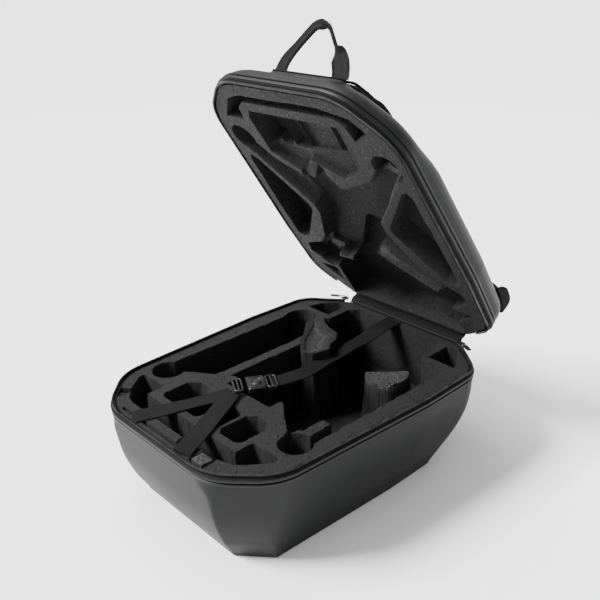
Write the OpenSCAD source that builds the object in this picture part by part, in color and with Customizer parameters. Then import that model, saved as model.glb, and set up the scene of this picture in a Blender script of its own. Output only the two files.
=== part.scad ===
// Hard-shell backpack case for a quadcopter, standing open on its deep base.
// Frame: +Z up from the flat bottom, +Y towards the hinge, X across the case.

/* [Case] */
// Length from the handle end to the hinge end
case_length = 442; // [425:1:470]
// Greatest width across the rims
case_width = 341; // [330:1:360]
// Height of the base from its rest face to the parting line
base_h = 142; // [136:1:156]
// Depth of the lid shell from the parting line to its back
lid_depth = 50; // [48:1:60]
// Thickness of the moulded shells
wall = 2.6; // [2:0.1:3.5]
// Angle by which the lid stands open
lid_open = 56; // [40:1:90]

/* [Foam] */
// Gap between the base foam's top and the parting line
base_foam_drop = 4; // [4:0.5:6]
// Thickness of the pad under the base foam blocks
floor_pad = 14; // [8:1:20]
// Thickness of the pad behind the lid foam blocks
lid_pad = 10; // [6:1:14]
// Spacing of two neighbouring motors of the quadcopter
motor_pitch = 252; // [246:1:256]
// Radius of a motor pocket
motor_r = 22; // [20:0.5:23]

/* [Straps] */
// Width of the retaining strap's webbing
web_w = 25; // [20:1:28]
// Thickness of all webbing
web_t = 1.6; // [1.2:0.1:2]
// Width of each padded shoulder strap
shoulder_w = 62; // [50:1:66]
// Thickness of each padded shoulder strap
shoulder_t = 12; // [8:1:14]
// Rise of the carry handle over the lid's back
handle_rise = 66; // [50:1:75]

/* [Zipper] */
// Height of the zipper tape on each half
tape_h = 5; // [4:0.5:5.5]
// Width of the row of zipper teeth
teeth_w = 3; // [2.4:0.1:3.4]

/* [Hidden] */

half_l = case_length / 2;
half_w = case_width / 2;
thin = 0.02;
clear = 0.3;

hinge_y = half_l + 3;
hinge_z = base_h - 5;

base_foam_z = base_h - base_foam_drop;
shell_top = base_h - 12.5;
trim_h = 7;
tape_inset = 2.2;
hinge_gap_y = half_l - 27;
foam_inset = 6.4;

motor_x = motor_pitch / 2;
motor_y_nose = -114;

rail_in = 140;
block_x = 93;
block_nose = -172;
block_tail = -142;
channel_nose = -193;

strap_z = base_foam_z + 0.4;
buckle_y = -60;
buckle_x = -5;
buckle_turn = -30;
buckle_z = base_h - 3;
buckle_t = 9;

handle_root_x = 50;
handle_root_y = -half_l + 30;
handle_web = 20;
strap_root_y = -half_l + 40;
back_z = lid_depth + 0.4;
pad_t = 6;
strap_z0 = back_z + pad_t + 0.6;

slider_x = half_w - 57.8;
slider_y = half_l - 10.3;
slider_turn = 28;

// Corner circles of the rim outline as [x, y, radius], right half
RIM = [
    [half_w - 80.7, -half_l + 89.8, 72],
    [half_w - 99.3, -half_l + 72, 72],
    [half_w - 30, 70, 30],
    [half_w - 44.5, half_l - 71, 42],
    [half_w - 82.5, half_l - 43, 43]
];

// The same for the shell's section at one third of its height
WAIST = [
    [half_w - 54, -half_l + 67, 24],
    [half_w - 83, -half_l + 38, 24],
    [half_w - 46, 60, 24],
    [half_w - 62, half_l - 88, 38],
    [half_w - 102, half_l - 56, 38]
];

// The same for the flat bottom
FOOT = [
    [half_w - 50, -half_l + 77, 9],
    [half_w - 84, -half_l + 47, 9],
    [half_w - 44, 40, 9],
    [half_w - 58, half_l - 110, 20],
    [half_w - 92, half_l - 84, 20]
];

module outline(circles, inset = 0) {
    hull()
        for (c = circles, side = [-1, 1])
            translate([side * c[0], c[1]]) circle(r = c[2] - inset, $fn = 48);
}

module slab(circles, z, inset) {
    translate([0, 0, z]) linear_extrude(thin) outline(circles, inset);
}

module rim_ring(z, height, outer, inner) {
    translate([0, 0, z]) linear_extrude(height)
        difference() {
            outline(RIM, outer);
            outline(RIM, inner);
        }
}

// Everything that a closed zipper runs along: the ring without its hinge side
module zipper_ring(z, height, outer, inner) {
    intersection() {
        rim_ring(z, height, outer, inner);
        translate([-half_w - 10, -half_l - 10, z - 1])
            cube([case_width + 20, hinge_gap_y + half_l + 10, height + 2]);
    }
}

// The lid's own frame: Z is the depth from the parting line to its back
module on_lid() {
    translate([0, hinge_y, hinge_z]) rotate([-lid_open, 0, 0])
        translate([0, -hinge_y, base_h - hinge_z]) children();
}

module mirrored(side) {
    if (side > 0) children();
    else mirror([1, 0, 0]) children();
}

// ---------------------------------------------------------------- base shell

module base_form(inset) {
    floor_z = inset;
    hull() {
        slab(FOOT, floor_z, inset + 4);
        slab(FOOT, floor_z + 1.4, inset + 1.2);
        slab(FOOT, floor_z + 5, inset);
        slab(WAIST, base_h / 3, inset);
        slab(RIM, shell_top, inset + 1.6);
    }
}

// The room inside the shell, drawn on up to the foam's top
module base_room(inset) {
    union() {
        base_form(inset + wall);
        translate([0, 0, shell_top]) linear_extrude(base_foam_z - shell_top)
            outline(RIM, foam_inset + inset);
    }
}

module base_shell() {
    color("#3a3b3d")
        difference() {
            base_form(0);
            base_form(wall);
            translate([0, 0, shell_top - 1]) linear_extrude(4) outline(RIM, 1.6 + wall);
        }
}

module base_rim_trim() {
    color("#303133") {
        rim_ring(shell_top + 0.1, 1.4, 0.6, 5.6);
        rim_ring(shell_top + 1.5, trim_h - 2.8, -0.8, 5.6);
        rim_ring(shell_top + trim_h - 1.3, 1.2, 0.6, 5.6);
    }
}

module base_zipper_tape() {
    color("#1d1e1f") zipper_ring(base_h - tape_h - 0.4, tape_h - 1.6, tape_inset, tape_inset + 1.2);
}

module base_zipper_teeth() {
    color("#262728") zipper_ring(base_h - 2, 1.7, 1, 1 + teeth_w);
}

// ----------------------------------------------------------------- base foam

module foam_part(z0) {
    color("#2b2c2d")
        intersection() {
            base_room(clear);
            translate([0, 0, z0]) linear_extrude(base_foam_z - z0) children();
        }
}

module pocket(z0, height = 200) {
    translate([0, 0, z0]) linear_extrude(height) children();
}

module both() {
    for (side = [0, 1]) mirror([side, 0]) children();
}

module rounded_box_2d(x0, y0, x1, y1, r) {
    hull()
        for (x = [x0 + r, x1 - r], y = [y0 + r, y1 - r])
            translate([x, y]) circle(r = r, $fn = 24);
}

module battery_pockets_2d() {
    both() rounded_box_2d(38, -157, 77, -103, 2.5);
}

// The channel that runs round the nose block, with a bay at each side
module blade_channel_2d() {
    polygon([
        [-134, block_tail], [-block_x - 2, block_tail], [-block_x - 2, block_nose],
        [block_x + 2, block_nose], [block_x + 2, block_tail], [134, block_tail],
        [134, -151], [100, -183], [88, channel_nose],
        [-88, channel_nose], [-100, -187], [-134, -155]
    ]);
}

module motor_pockets_2d(y) {
    both() translate([motor_x, y]) circle(r = motor_r, $fn = 48);
}

// The plateau that fills the nose of the base
module nose_plan_2d() {
    polygon([
        [-180, -240], [180, -240], [180, -114], [103, -114],
        [100, -104], [72, -79], [52, -61], [42, -52], [42, -77],
        [-42, -77], [-42, -61], [-52, -61], [-72, -79], [-98, -104],
        [-103, -114], [-180, -114]
    ]);
}

module base_foam_floor() {
    color("#232425")
        intersection() {
            base_room(clear);
            translate([-half_w, -half_l, 0]) cube([case_width, case_length, wall + floor_pad]);
        }
}

block_z0 = wall + floor_pad + clear;

module base_foam_nose() {
    difference() {
        foam_part(block_z0) nose_plan_2d();
        pocket(base_foam_z - 75) battery_pockets_2d();
        pocket(base_foam_z - 42) blade_channel_2d();
        pocket(base_foam_z - 48) motor_pockets_2d(motor_y_nose);
        pocket(base_foam_z - 30) translate([-66, -206]) square([96, 4]);
        foam_plug_space(0.3);
    }
}

module rail_plan_2d() {
    polygon([
        [rail_in, -114 + clear], [180, -114 + clear], [180, 147 - clear], [rail_in, 147 - clear]
    ]);
}

module base_foam_left_rail() {
    foam_part(block_z0) mirror([1, 0]) rail_plan_2d();
}

module base_foam_right_rail() {
    foam_part(block_z0) rail_plan_2d();
}

// Ring round the hinge end with its corner pockets
module base_foam_tail() {
    difference() {
        foam_part(block_z0)
            difference() {
                translate([-180, 147]) square([360, 100]);
                polygon([[-88, 140], [88, 140], [88, 182], [74, 203], [-74, 203], [-88, 182]]);
            }
        pocket(base_foam_z - 55) both()
            polygon([[96, 162], [132, 162], [124, 184], [108, 197], [96, 200]]);
    }
}

module base_foam_divider() {
    foam_part(block_z0) polygon([[-72, -78.5], [-55, -63.2], [-55, 61.6], [-72, 61.6]]);
}

module saddle_plan_2d() {
    polygon([
        [52, 62], [73, 62 + clear], [108, 112], [112, 147 - clear], [88, 147 - clear],
        [86, 124], [66, 122], [50, 100], [34, 64]
    ]);
}

module base_foam_left_saddle() {
    foam_part(block_z0) mirror([1, 0]) saddle_plan_2d();
}

module base_foam_right_saddle() {
    color("#2b2c2d")
        intersection() {
            base_room(clear);
            translate([0, 0, block_z0]) linear_extrude(base_foam_z - 34 - block_z0) saddle_plan_2d();
        }
}

plug_x = 73;
plug_y = -202;
plug_w = 20;
plug_l = 17;
plug_h = 28;

module foam_plug_space(extra) {
    translate([plug_x, plug_y, base_foam_z - plug_h - extra]) linear_extrude(plug_h + 20)
        square([plug_w + 2 * extra, plug_l + 2 * extra], center = true);
}

module foam_plug() {
    color("#37393a")
        translate([plug_x, plug_y, base_foam_z - plug_h]) linear_extrude(plug_h + 1.2)
            square([plug_w, plug_l], center = true);
}

// ----------------------------------------------------- retaining strap, buckle

// A flat web between two points, drawn as a thin bar
module web_bar(from, to, width, z) {
    run = to - from;
    translate([from[0], from[1], z]) rotate([0, 0, atan2(run[1], run[0])])
        translate([0, -width / 2, 0]) cube([norm(run), width, web_t]);
}

tail_end_left = [-54, -half_l + 11];
tail_end_right = [48, -half_l + 11];
tail_join = [-15, -90];

long_start = [9.6, -34.6];
long_dip = [-13, 84];
long_rise = [-8, half_l - 18];
long_end = [-8, half_l - 10];
long_dip_z = base_foam_z - 14;

module buckle_frame() {
    translate([buckle_x, buckle_y, buckle_z]) rotate([0, 0, buckle_turn]) children();
}

module strap_tail(from, z) {
    color("#2f3031") web_bar(from, tail_join, web_w, z);
}

module strap_tail_left() {
    strap_tail(tail_end_left, strap_z);
}

module strap_tail_right() {
    strap_tail(tail_end_right, strap_z + web_t + 0.1);
}

module web_end(at, turn, z) {
    translate([at[0], at[1], z]) rotate([0, 0, turn])
        translate([-web_w / 2, 0, 0]) cube([web_w, 0.5, web_t]);
}

module strap_long() {
    color("#2f3031") {
        hull() {
            web_end(long_start, buckle_turn, buckle_z + 3);
            web_end(long_dip, 4, long_dip_z);
        }
        hull() {
            web_end(long_dip, 4, long_dip_z);
            web_end(long_rise, 0, base_foam_z + 0.7);
        }
        hull() {
            web_end(long_rise, 0, base_foam_z + 0.7);
            web_end(long_end, 0, base_foam_z + 0.7);
        }
    }
}

module buckle_adjuster() {
    color("#161718") buckle_frame()
        difference() {
            translate([-16, -30, 3.4]) cube([32, 13, 4.5]);
            translate([-13, -27.6, 3]) cube([26, 3, 6]);
            translate([-13, -22.6, 3]) cube([26, 3, 6]);
        }
}

module buckle_socket() {
    color("#161718") buckle_frame()
        difference() {
            hull() {
                translate([-16, -12, 1]) cube([32, 24, buckle_t - 2]);
                translate([-14, -12, 0]) cube([28, 24, buckle_t]);
            }
            translate([-12, -6, 1.8]) cube([24, 30, buckle_t - 3.6]);
            translate([0, 1, 4]) cylinder(r = 6.2, h = 10, $fn = 48);
        }
}

module buckle_button() {
    color("#1f2021") buckle_frame() translate([0, 1, 6]) cylinder(r = 6, h = buckle_t - 5.4, $fn = 48);
}

module buckle_tongue() {
    color("#161718") buckle_frame() {
        translate([-11, -3, 2.2]) cube([22, 16, 1.6]);
        difference() {
            translate([-15.5, 12.5, 0.8]) cube([31, 15, buckle_t - 2]);
            translate([-13, 17, 0]) cube([26, 2.8, 12]);
            translate([-13, 22, 0]) cube([26, 2.8, 12]);
        }
    }
}

// ------------------------------------------------------------ hinge and zipper

// Fabric strip that joins both halves; its section is drawn in Y and Z
module hinge_gusset() {
    color("#1b1c1d")
        translate([-105, 0, 0]) rotate([90, 0, 90]) linear_extrude(210)
            polygon([
                [half_l - 5.2, base_h - 5.3], [half_l - 4.0, base_h - 5.3],
                [half_l - 3.8, base_h + 0.4], [half_l + 0.4, base_h + 3.2],
                [half_l + 5.4, base_h + 4.0], [half_l + 5.2, base_h + 5.2],
                [half_l, base_h + 4.4], [half_l - 5, base_h + 1.2]
            ]);
}

module hinge_piping() {
    color("#5b5d5f")
        translate([-104, half_l - 7, base_h - 1.2]) rotate([0, 90, 0]) cylinder(r = 1.4, h = 208, $fn = 24);
}

module slider_frame(side) {
    mirrored(side)
        translate([slider_x, slider_y, base_h + 0.2]) rotate([0, 0, -slider_turn]) children();
}

module zipper_slider(side) {
    color("#a5a8ab") slider_frame(side) {
        translate([-6, -4, 0]) cube([12, 8, 1.2]);
        difference() {
            translate([-3, -1.6, 1.2]) cube([6, 3.2, 3.2]);
            translate([0, -3, 3]) rotate([-90, 0, 0]) cylinder(r = 0.9, h = 6, $fn = 24);
        }
    }
}

module zipper_slider_left() {
    zipper_slider(-1);
}

module zipper_slider_right() {
    zipper_slider(1);
}

// The pull hangs in the slider's eye and lies flat beside it
module zipper_pull(side) {
    color("#b4b7ba") slider_frame(side) {
        translate([0, -2.6, 3]) rotate([-90, 0, 0]) cylinder(r = 0.82, h = 5.2, $fn = 24);
        for (y = [-3.6, 2.2]) translate([-0.8, y, 2.3]) cube([10, 1.4, 1.4]);
        translate([9.2, -3.6, 2.3]) cube([15, 7.2, 1.4]);
    }
}

module zipper_pull_left() {
    zipper_pull(-1);
}

module zipper_pull_right() {
    zipper_pull(1);
}

// ------------------------------------------------------------------- lid shell

module lid_form(inset) {
    hull() {
        slab(RIM, 12.4, inset + 1.6);
        slab(RIM, lid_depth * 0.5 - inset, inset + 1);
        slab(RIM, lid_depth * 0.8 - inset, inset + 8);
        slab(RIM, lid_depth - inset, inset + 22);
    }
}

module lid_shell() {
    color("#3a3b3d") on_lid()
        difference() {
            lid_form(0);
            lid_form(wall);
            translate([0, 0, 12]) linear_extrude(2) outline(RIM, 1.6 + wall);
        }
}

module lid_rim_trim() {
    color("#303133") on_lid() {
        rim_ring(12.4 - trim_h, 1.2, 0.6, 5.6);
        rim_ring(12.4 - trim_h + 1.2, trim_h - 2.7, -0.8, 5.6);
        rim_ring(12.4 - 1.5, 1.4, 0.6, 5.6);
    }
}

module lid_zipper_tape() {
    color("#1d1e1f") on_lid() zipper_ring(2, tape_h - 1.6, tape_inset, tape_inset + 1.2);
}

module lid_zipper_teeth() {
    color("#262728") on_lid() zipper_ring(0.3, 1.7, 1, 1 + teeth_w);
}

// -------------------------------------------------------------------- lid foam

lid_face = 1.5;
lid_room_top = lid_depth - wall - clear;
lid_block_top = lid_room_top - lid_pad - clear;

module lid_room(inset) {
    union() {
        lid_form(inset + wall);
        linear_extrude(13) outline(RIM, foam_inset + inset);
    }
}

module lid_part(z1) {
    color("#2b2c2d") on_lid()
        intersection() {
            lid_room(clear);
            translate([0, 0, lid_face]) linear_extrude(z1 - lid_face) children();
        }
}

module lid_foam_backing() {
    color("#232425") on_lid()
        intersection() {
            lid_room(clear);
            translate([-half_w, -half_l, lid_block_top + clear])
                cube([case_width, case_length, lid_pad + 10]);
        }
}

// Perimeter wall of the lid foam
module lid_foam_rim() {
    lid_part(lid_block_top)
        difference() {
            outline(RIM, 0);
            outline(RIM, 17);
        }
}

lid_in = 17 + clear;

module lid_plan() {
    intersection() {
        outline(RIM, lid_in);
        children();
    }
}

// Depth at which the hollows of the handle end stop
nose_floor_z = lid_block_top - 5.5;
nose_edge = -108;
island_half = 87.7;

// Plate behind the hollows of the handle end
module lid_foam_nose_floor() {
    color("#2b2c2d") on_lid()
        translate([0, 0, nose_floor_z + clear]) linear_extrude(lid_block_top - nose_floor_z - clear)
            lid_plan() translate([-half_w, -half_l]) square([case_width, half_l + nose_edge]);
}

module nose_part(depth) {
    color("#2b2c2d") on_lid()
        translate([0, 0, lid_face]) linear_extrude(depth - lid_face) children();
}

// Walls round the deep pocket on the left of the handle end
module lid_foam_nose_left_island() {
    difference() {
        nose_part(nose_floor_z) difference() {
            polygon([
                [-island_half, -165], [-81.7, -189.7], [-25, -189.7], [-25, -70.2],
                [-60, -88], [-island_half, -100]
            ]);
            rounded_box_2d(-80, -182, -30, -112, 12);
        }
        on_lid() buckle_relief();
    }
}

// Room for the strap's buckle when the lid is shut
module buckle_relief() {
    translate([-36, -104, -1]) cube([70, 80, 11]);
}

// Stepped block with two slots on the right, with a relief for the buckle
module lid_foam_nose_right_island() {
    difference() {
        nose_part(nose_floor_z)
            polygon([
                [clear - 25, -189.7], [81.7, -189.7], [island_half, -165], [island_half, -95.5],
                [60, -84], [22, -66], [20, -82], [10, -92], [-8, -80], [-18, -66],
                [clear - 25, -70]
            ]);
        on_lid() {
            for (x = [12, 62]) translate([x, -178, -1]) cube([8, 50, 20]);
            buckle_relief();
        }
    }
}

// Lobe between the blade channel and the rim that holds one motor
module nose_lobe(side) {
    nose_part(nose_floor_z) mirrored(side) lid_plan() difference() {
        polygon([
            [island_half + clear, -165], [180, -165], [180, nose_edge], [118, nose_edge],
            [island_half + clear, -98]
        ]);
        translate([0, -5]) motor_pockets_2d(motor_y_nose);
    }
}

module lid_foam_nose_left_lobe() {
    nose_lobe(-1);
}

module lid_foam_nose_right_lobe() {
    nose_lobe(1);
}

// Island between the two arms on one side, with its own pocket
module island_2d() {
    polygon([
        [half_w - lid_in - clear, -98], [118, -104], [52, -20], [52, 30], [104, 96],
        [half_w - lid_in - clear, 92]
    ]);
}

module lid_foam_island(side) {
    color("#2b2c2d") on_lid() mirrored(side)
        difference() {
            translate([0, 0, lid_face]) linear_extrude(lid_block_top - lid_face) lid_plan() island_2d();
            translate([0, 0, -1]) linear_extrude(31)
                polygon([[140, -84], [126, -88], [70, -4], [70, 16], [122, 76], [140, 72]]);
        }
}

module lid_foam_left_island() {
    lid_foam_island(-1);
}

module lid_foam_right_island() {
    lid_foam_island(1);
}

// Corner block beside the deep tail recess, with its two small pockets
module lid_foam_tail_block(side) {
    color("#2b2c2d") on_lid() mirrored(side)
        difference() {
            translate([0, 0, lid_face]) linear_extrude(lid_block_top - lid_face) lid_plan()
                polygon([[90, 104], [150, 96], [180, 96], [180, 220], [86, 240], [86, 150]]);
            translate([0, 0, -1]) linear_extrude(22)
                polygon([[100, 112], [142, 104], [136, 132], [104, 136]]);
            translate([0, 0, -1]) linear_extrude(22)
                polygon([[100, 150], [136, 148], [124, 172], [102, 184]]);
        }
}

module lid_foam_tail_left() {
    lid_foam_tail_block(-1);
}

module lid_foam_tail_right() {
    lid_foam_tail_block(1);
}

// ------------------------------------------------------- back pad and harness

module back_pad() {
    color("#202122") on_lid() translate([0, 0, back_z])
        difference() {
            hull() {
                linear_extrude(pad_t / 2) outline(RIM, 27);
                linear_extrude(pad_t) outline(RIM, 29.5);
            }
            translate([-half_w, -half_l, -1]) cube([case_width, 38.5, pad_t + 2]);
        }
}

module shoulder_strap(side) {
    color("#262728") on_lid() mirrored(side) translate([0, 0, strap_z0])
        linear_extrude(shoulder_t)
            hull() {
                translate([50, strap_root_y]) square([78, 1], center = true);
                translate([60, 30]) circle(d = shoulder_w, $fn = 32);
                translate([78, 84]) circle(d = shoulder_w - 22, $fn = 32);
            }
}

module shoulder_strap_left() {
    shoulder_strap(-1);
}

module shoulder_strap_right() {
    shoulder_strap(1);
}

ladder_at = [90, 117];
ladder_turn = -38;

module strap_ladder(side) {
    color("#161718") on_lid() mirrored(side)
        translate([ladder_at[0], ladder_at[1], strap_z0 + 2]) rotate([0, 0, ladder_turn])
            difference() {
                translate([-17, -11, 0]) cube([34, 22, 4.5]);
                for (y = [-8, -1.6, 4.8]) translate([-13, y, -1]) cube([26, 3.2, 8]);
            }
}

module strap_ladder_left() {
    strap_ladder(-1);
}

module strap_ladder_right() {
    strap_ladder(1);
}

module strap_web(side) {
    color("#2f3031") on_lid() mirrored(side)
        web_bar([97.5, 127], [134, 168], web_w, strap_z0 + 3);
}

module strap_web_left() {
    strap_web(-1);
}

module strap_web_right() {
    strap_web(1);
}

// Folded fabric tab at the hinge corner that takes the lower webbing
module strap_lug(side) {
    color("#262728") on_lid() mirrored(side)
        translate([147, 0, 0]) rotate([90, 0, 90]) linear_extrude(7)
            polygon([
                [141, lid_depth - 1], [150, lid_depth + 6], [160, lid_depth + 15],
                [182, lid_depth + 14], [188, lid_depth], [186, lid_depth - 12],
                [176, lid_depth - 7], [160, lid_depth - 2]
            ]);
}

module strap_lug_left() {
    strap_lug(-1);
}

module strap_lug_right() {
    strap_lug(1);
}

handle_lean = 32;

// Webbing loop; its legs lean together towards a short grip
module top_handle() {
    color("#37383a") on_lid()
        translate([0, handle_root_y, back_z + 2.2]) rotate([handle_lean, 0, 0]) {
            for (side = [-1, 1]) mirrored(side)
                rotate([90, 0, 0]) linear_extrude(web_t * 1.6, center = true)
                    polygon([
                        [handle_root_x + handle_web / 2, 2], [handle_root_x - handle_web / 2, 2],
                        [handle_root_x - 14, 16], [10, handle_rise - 9], [0, handle_rise - 9],
                        [0, handle_rise], [14, handle_rise], [handle_root_x + 4, 20]
                    ]);
        }
}

module handle_anchor() {
    color("#1f2021") on_lid()
        translate([0, handle_root_y, back_z]) linear_extrude(2)
            rounded_box_2d(-handle_root_x - 14, -6.5, handle_root_x + 14, 6.5, 4);
}

// Rivets that hold the handle's anchor and the lugs through the shell
module lid_rivets() {
    color("#8b8d90") on_lid()
        for (x = [-24, 0, 24])
            translate([x, handle_root_y, back_z + 2]) cylinder(r1 = 4, r2 = 3, h = 1.2, $fn = 32);
}

base_shell();
base_rim_trim();
base_zipper_tape();
base_zipper_teeth();
base_foam_floor();
base_foam_nose();
base_foam_left_rail();
base_foam_right_rail();
base_foam_tail();
base_foam_divider();
base_foam_left_saddle();
base_foam_right_saddle();
foam_plug();
strap_tail_left();
strap_tail_right();
strap_long();
buckle_adjuster();
buckle_socket();
buckle_button();
buckle_tongue();
hinge_gusset();
hinge_piping();
zipper_slider_left();
zipper_slider_right();
zipper_pull_left();
zipper_pull_right();
lid_shell();
lid_rim_trim();
lid_zipper_tape();
lid_zipper_teeth();
lid_foam_backing();
lid_foam_rim();
lid_foam_nose_floor();
lid_foam_nose_left_island();
lid_foam_nose_right_island();
lid_foam_nose_left_lobe();
lid_foam_nose_right_lobe();
lid_foam_left_island();
lid_foam_right_island();
lid_foam_tail_left();
lid_foam_tail_right();
back_pad();
shoulder_strap_left();
shoulder_strap_right();
strap_ladder_left();
strap_ladder_right();
strap_web_left();
strap_web_right();
strap_lug_left();
strap_lug_right();
top_handle();
handle_anchor();
lid_rivets();
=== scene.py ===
"""Looks of the drone carrying case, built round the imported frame.

Inside the classes a length is in millimetres, and a mesh is turned into metres when it is made.
A lid piece is drawn in the lid's own frame, where Z is the depth from the parting line to the
lid's back, and LidFrame turns it to where the open lid stands.
"""

import logging
import math
from dataclasses import dataclass, field
from enum import Enum

import bpy
import numpy as np
from mathutils import Matrix


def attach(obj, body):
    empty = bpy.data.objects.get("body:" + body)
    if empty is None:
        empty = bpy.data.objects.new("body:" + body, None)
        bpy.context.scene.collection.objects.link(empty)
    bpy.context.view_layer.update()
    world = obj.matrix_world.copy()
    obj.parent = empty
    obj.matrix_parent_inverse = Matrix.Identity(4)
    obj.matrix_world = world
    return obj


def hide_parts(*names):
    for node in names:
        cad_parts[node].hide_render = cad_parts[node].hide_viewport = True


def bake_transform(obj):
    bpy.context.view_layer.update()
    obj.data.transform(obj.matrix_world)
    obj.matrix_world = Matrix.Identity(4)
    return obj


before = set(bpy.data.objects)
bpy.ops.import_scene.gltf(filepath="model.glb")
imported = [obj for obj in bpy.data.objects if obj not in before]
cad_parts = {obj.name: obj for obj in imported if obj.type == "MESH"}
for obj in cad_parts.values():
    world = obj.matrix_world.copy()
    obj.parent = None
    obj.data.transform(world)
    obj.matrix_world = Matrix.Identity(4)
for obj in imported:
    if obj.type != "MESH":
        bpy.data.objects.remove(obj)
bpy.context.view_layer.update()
MM = 0.001
LOG = logging.getLogger("drone_case")
Array = np.ndarray


class Side(Enum):
    """Which side of the case a mirrored piece is on, as the sign of X."""

    LEFT = -1
    RIGHT = 1


class Body(Enum):
    """The moving groups of the frame."""

    BASE = "base"
    LID = "lid"
    HANDLE = "handle"
    PULL_LEFT = "pull_left"
    PULL_RIGHT = "pull_right"
    BUTTON = "button"
    TONGUE = "tongue"
    PLUG = "plug"


# ------------------------------------------------------------------ plain maths


def ease(t: Array) -> Array:
    """Smooth step: 3t^2 - 2t^3 on t held between 0 and 1."""
    t = np.clip(t, 0.0, 1.0)
    return t * t * (3 - 2 * t)


def unit(v: Array) -> Array:
    """Each vector divided by its length."""
    return v / np.maximum(np.linalg.norm(v, axis=-1, keepdims=True), 1e-9)


def smooth_path(points: Array, count: int) -> Array:
    """A smooth line through a few points.

    Formula: a Catmull-Rom cubic through the points, then evened out to equal steps of length.

    Args:
        points: the points, one row each, in 2 or 3 dimensions.
        count: how many points the line gets.

    Returns:
        The line, count rows.
    """
    p = np.asarray(points, float)
    ext = np.vstack([2 * p[0] - p[1], p, 2 * p[-1] - p[-2]])
    t = np.linspace(0, len(p) - 1 - 1e-9, 40 * len(p))
    k = t.astype(int)
    f = (t - k)[:, None]
    a, b, c, d = ext[k], ext[k + 1], ext[k + 2], ext[k + 3]
    line = 0.5 * (2 * b + (c - a) * f + (2 * a - 5 * b + 4 * c - d) * f**2 + (3 * b - a - 3 * c + d) * f**3)
    return even_path(line, count)


def even_path(line: Array, count: int) -> Array:
    """The same line with count points at equal steps of its length."""
    s = np.r_[0, np.cumsum(np.linalg.norm(np.diff(line, axis=0), axis=1))]
    at = np.linspace(0, s[-1], count)
    return np.stack([np.interp(at, s, line[:, k]) for k in range(line.shape[1])], 1)


def rounded_rectangle(width: float, height: float, radius: float, per_corner: int = 4) -> Array:
    """Closed outline of a rectangle about the origin, its corners being quarter circles."""
    r = min(radius, width / 2 - 1e-4, height / 2 - 1e-4)
    a = np.linspace(0, math.pi / 2, per_corner + 1)
    corners = [(1, 1, 0), (-1, 1, 1), (-1, -1, 2), (1, -1, 3)]
    return np.vstack([
        np.stack([sx * (width / 2 - r) + r * np.cos(a + q * math.pi / 2),
                  sy * (height / 2 - r) + r * np.sin(a + q * math.pi / 2)], 1)
        for sx, sy, q in corners
    ])


def circle(radius: float, count: int) -> Array:
    """Closed outline of a circle about the origin."""
    a = np.arange(count) * 2 * math.pi / count
    return radius * np.stack([np.cos(a), np.sin(a)], 1)


def turned(points: Array, degrees: float) -> Array:
    """Points turned about Z, anticlockwise."""
    a = math.radians(degrees)
    out = np.array(points, float)
    out[..., 0] = points[..., 0] * math.cos(a) - points[..., 1] * math.sin(a)
    out[..., 1] = points[..., 0] * math.sin(a) + points[..., 1] * math.cos(a)
    return out


# ------------------------------------------------------------- signed distances


def polygon_distance(x: Array, y: Array, points: list, rounding: float = 0.0) -> Array:
    """Signed distance from a closed polygon, below 0 inside.

    Formula: the least distance to any edge, with the sign from how often a ray to +X crosses the
    edges; its corners are rounded by growing an outline that is drawn smaller by the rounding.

    Args:
        x: X of every grid point.
        y: Y of every grid point.
        points: the polygon's corners.
        rounding: radius of the outer corners.

    Returns:
        The distance at every grid point.
    """
    p = np.asarray(points, float)
    if rounding:
        centre = p.mean(0)
        reach = np.linalg.norm(p - centre, axis=1, keepdims=True)
        p = centre + (p - centre) * (1 - 1.25 * rounding / reach)
    least = np.full(x.shape, 1e9)
    inside = np.zeros(x.shape, bool)
    for a, b in zip(p, np.roll(p, -1, axis=0)):
        e = b - a
        t = np.clip(((x - a[0]) * e[0] + (y - a[1]) * e[1]) / (e @ e), 0, 1)
        least = np.minimum(least, np.hypot(x - a[0] - t * e[0], y - a[1] - t * e[1]))
        crosses = (a[1] > y) != (b[1] > y)
        at = a[0] + (y - a[1]) * e[0] / (e[1] if abs(e[1]) > 1e-9 else 1e-9)
        inside ^= crosses & (x < at)
    return np.where(inside, -least, least) - rounding


def circle_distance(x: Array, y: Array, centre: tuple, radius: float) -> Array:
    """Signed distance from a circle, below 0 inside."""
    return np.hypot(x - centre[0], y - centre[1]) - radius


def capsule_distance(x: Array, y: Array, a: tuple, b: tuple, ra: float, rb: float) -> Array:
    """Distance from a bar between two points whose half-width runs from ra to rb."""
    ex, ey = b[0] - a[0], b[1] - a[1]
    t = np.clip(((x - a[0]) * ex + (y - a[1]) * ey) / (ex * ex + ey * ey), 0, 1)
    return np.hypot(x - a[0] - t * ex, y - a[1] - t * ey) - (ra + (rb - ra) * t)


# ------------------------------------------------------------------ mesh making


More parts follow.
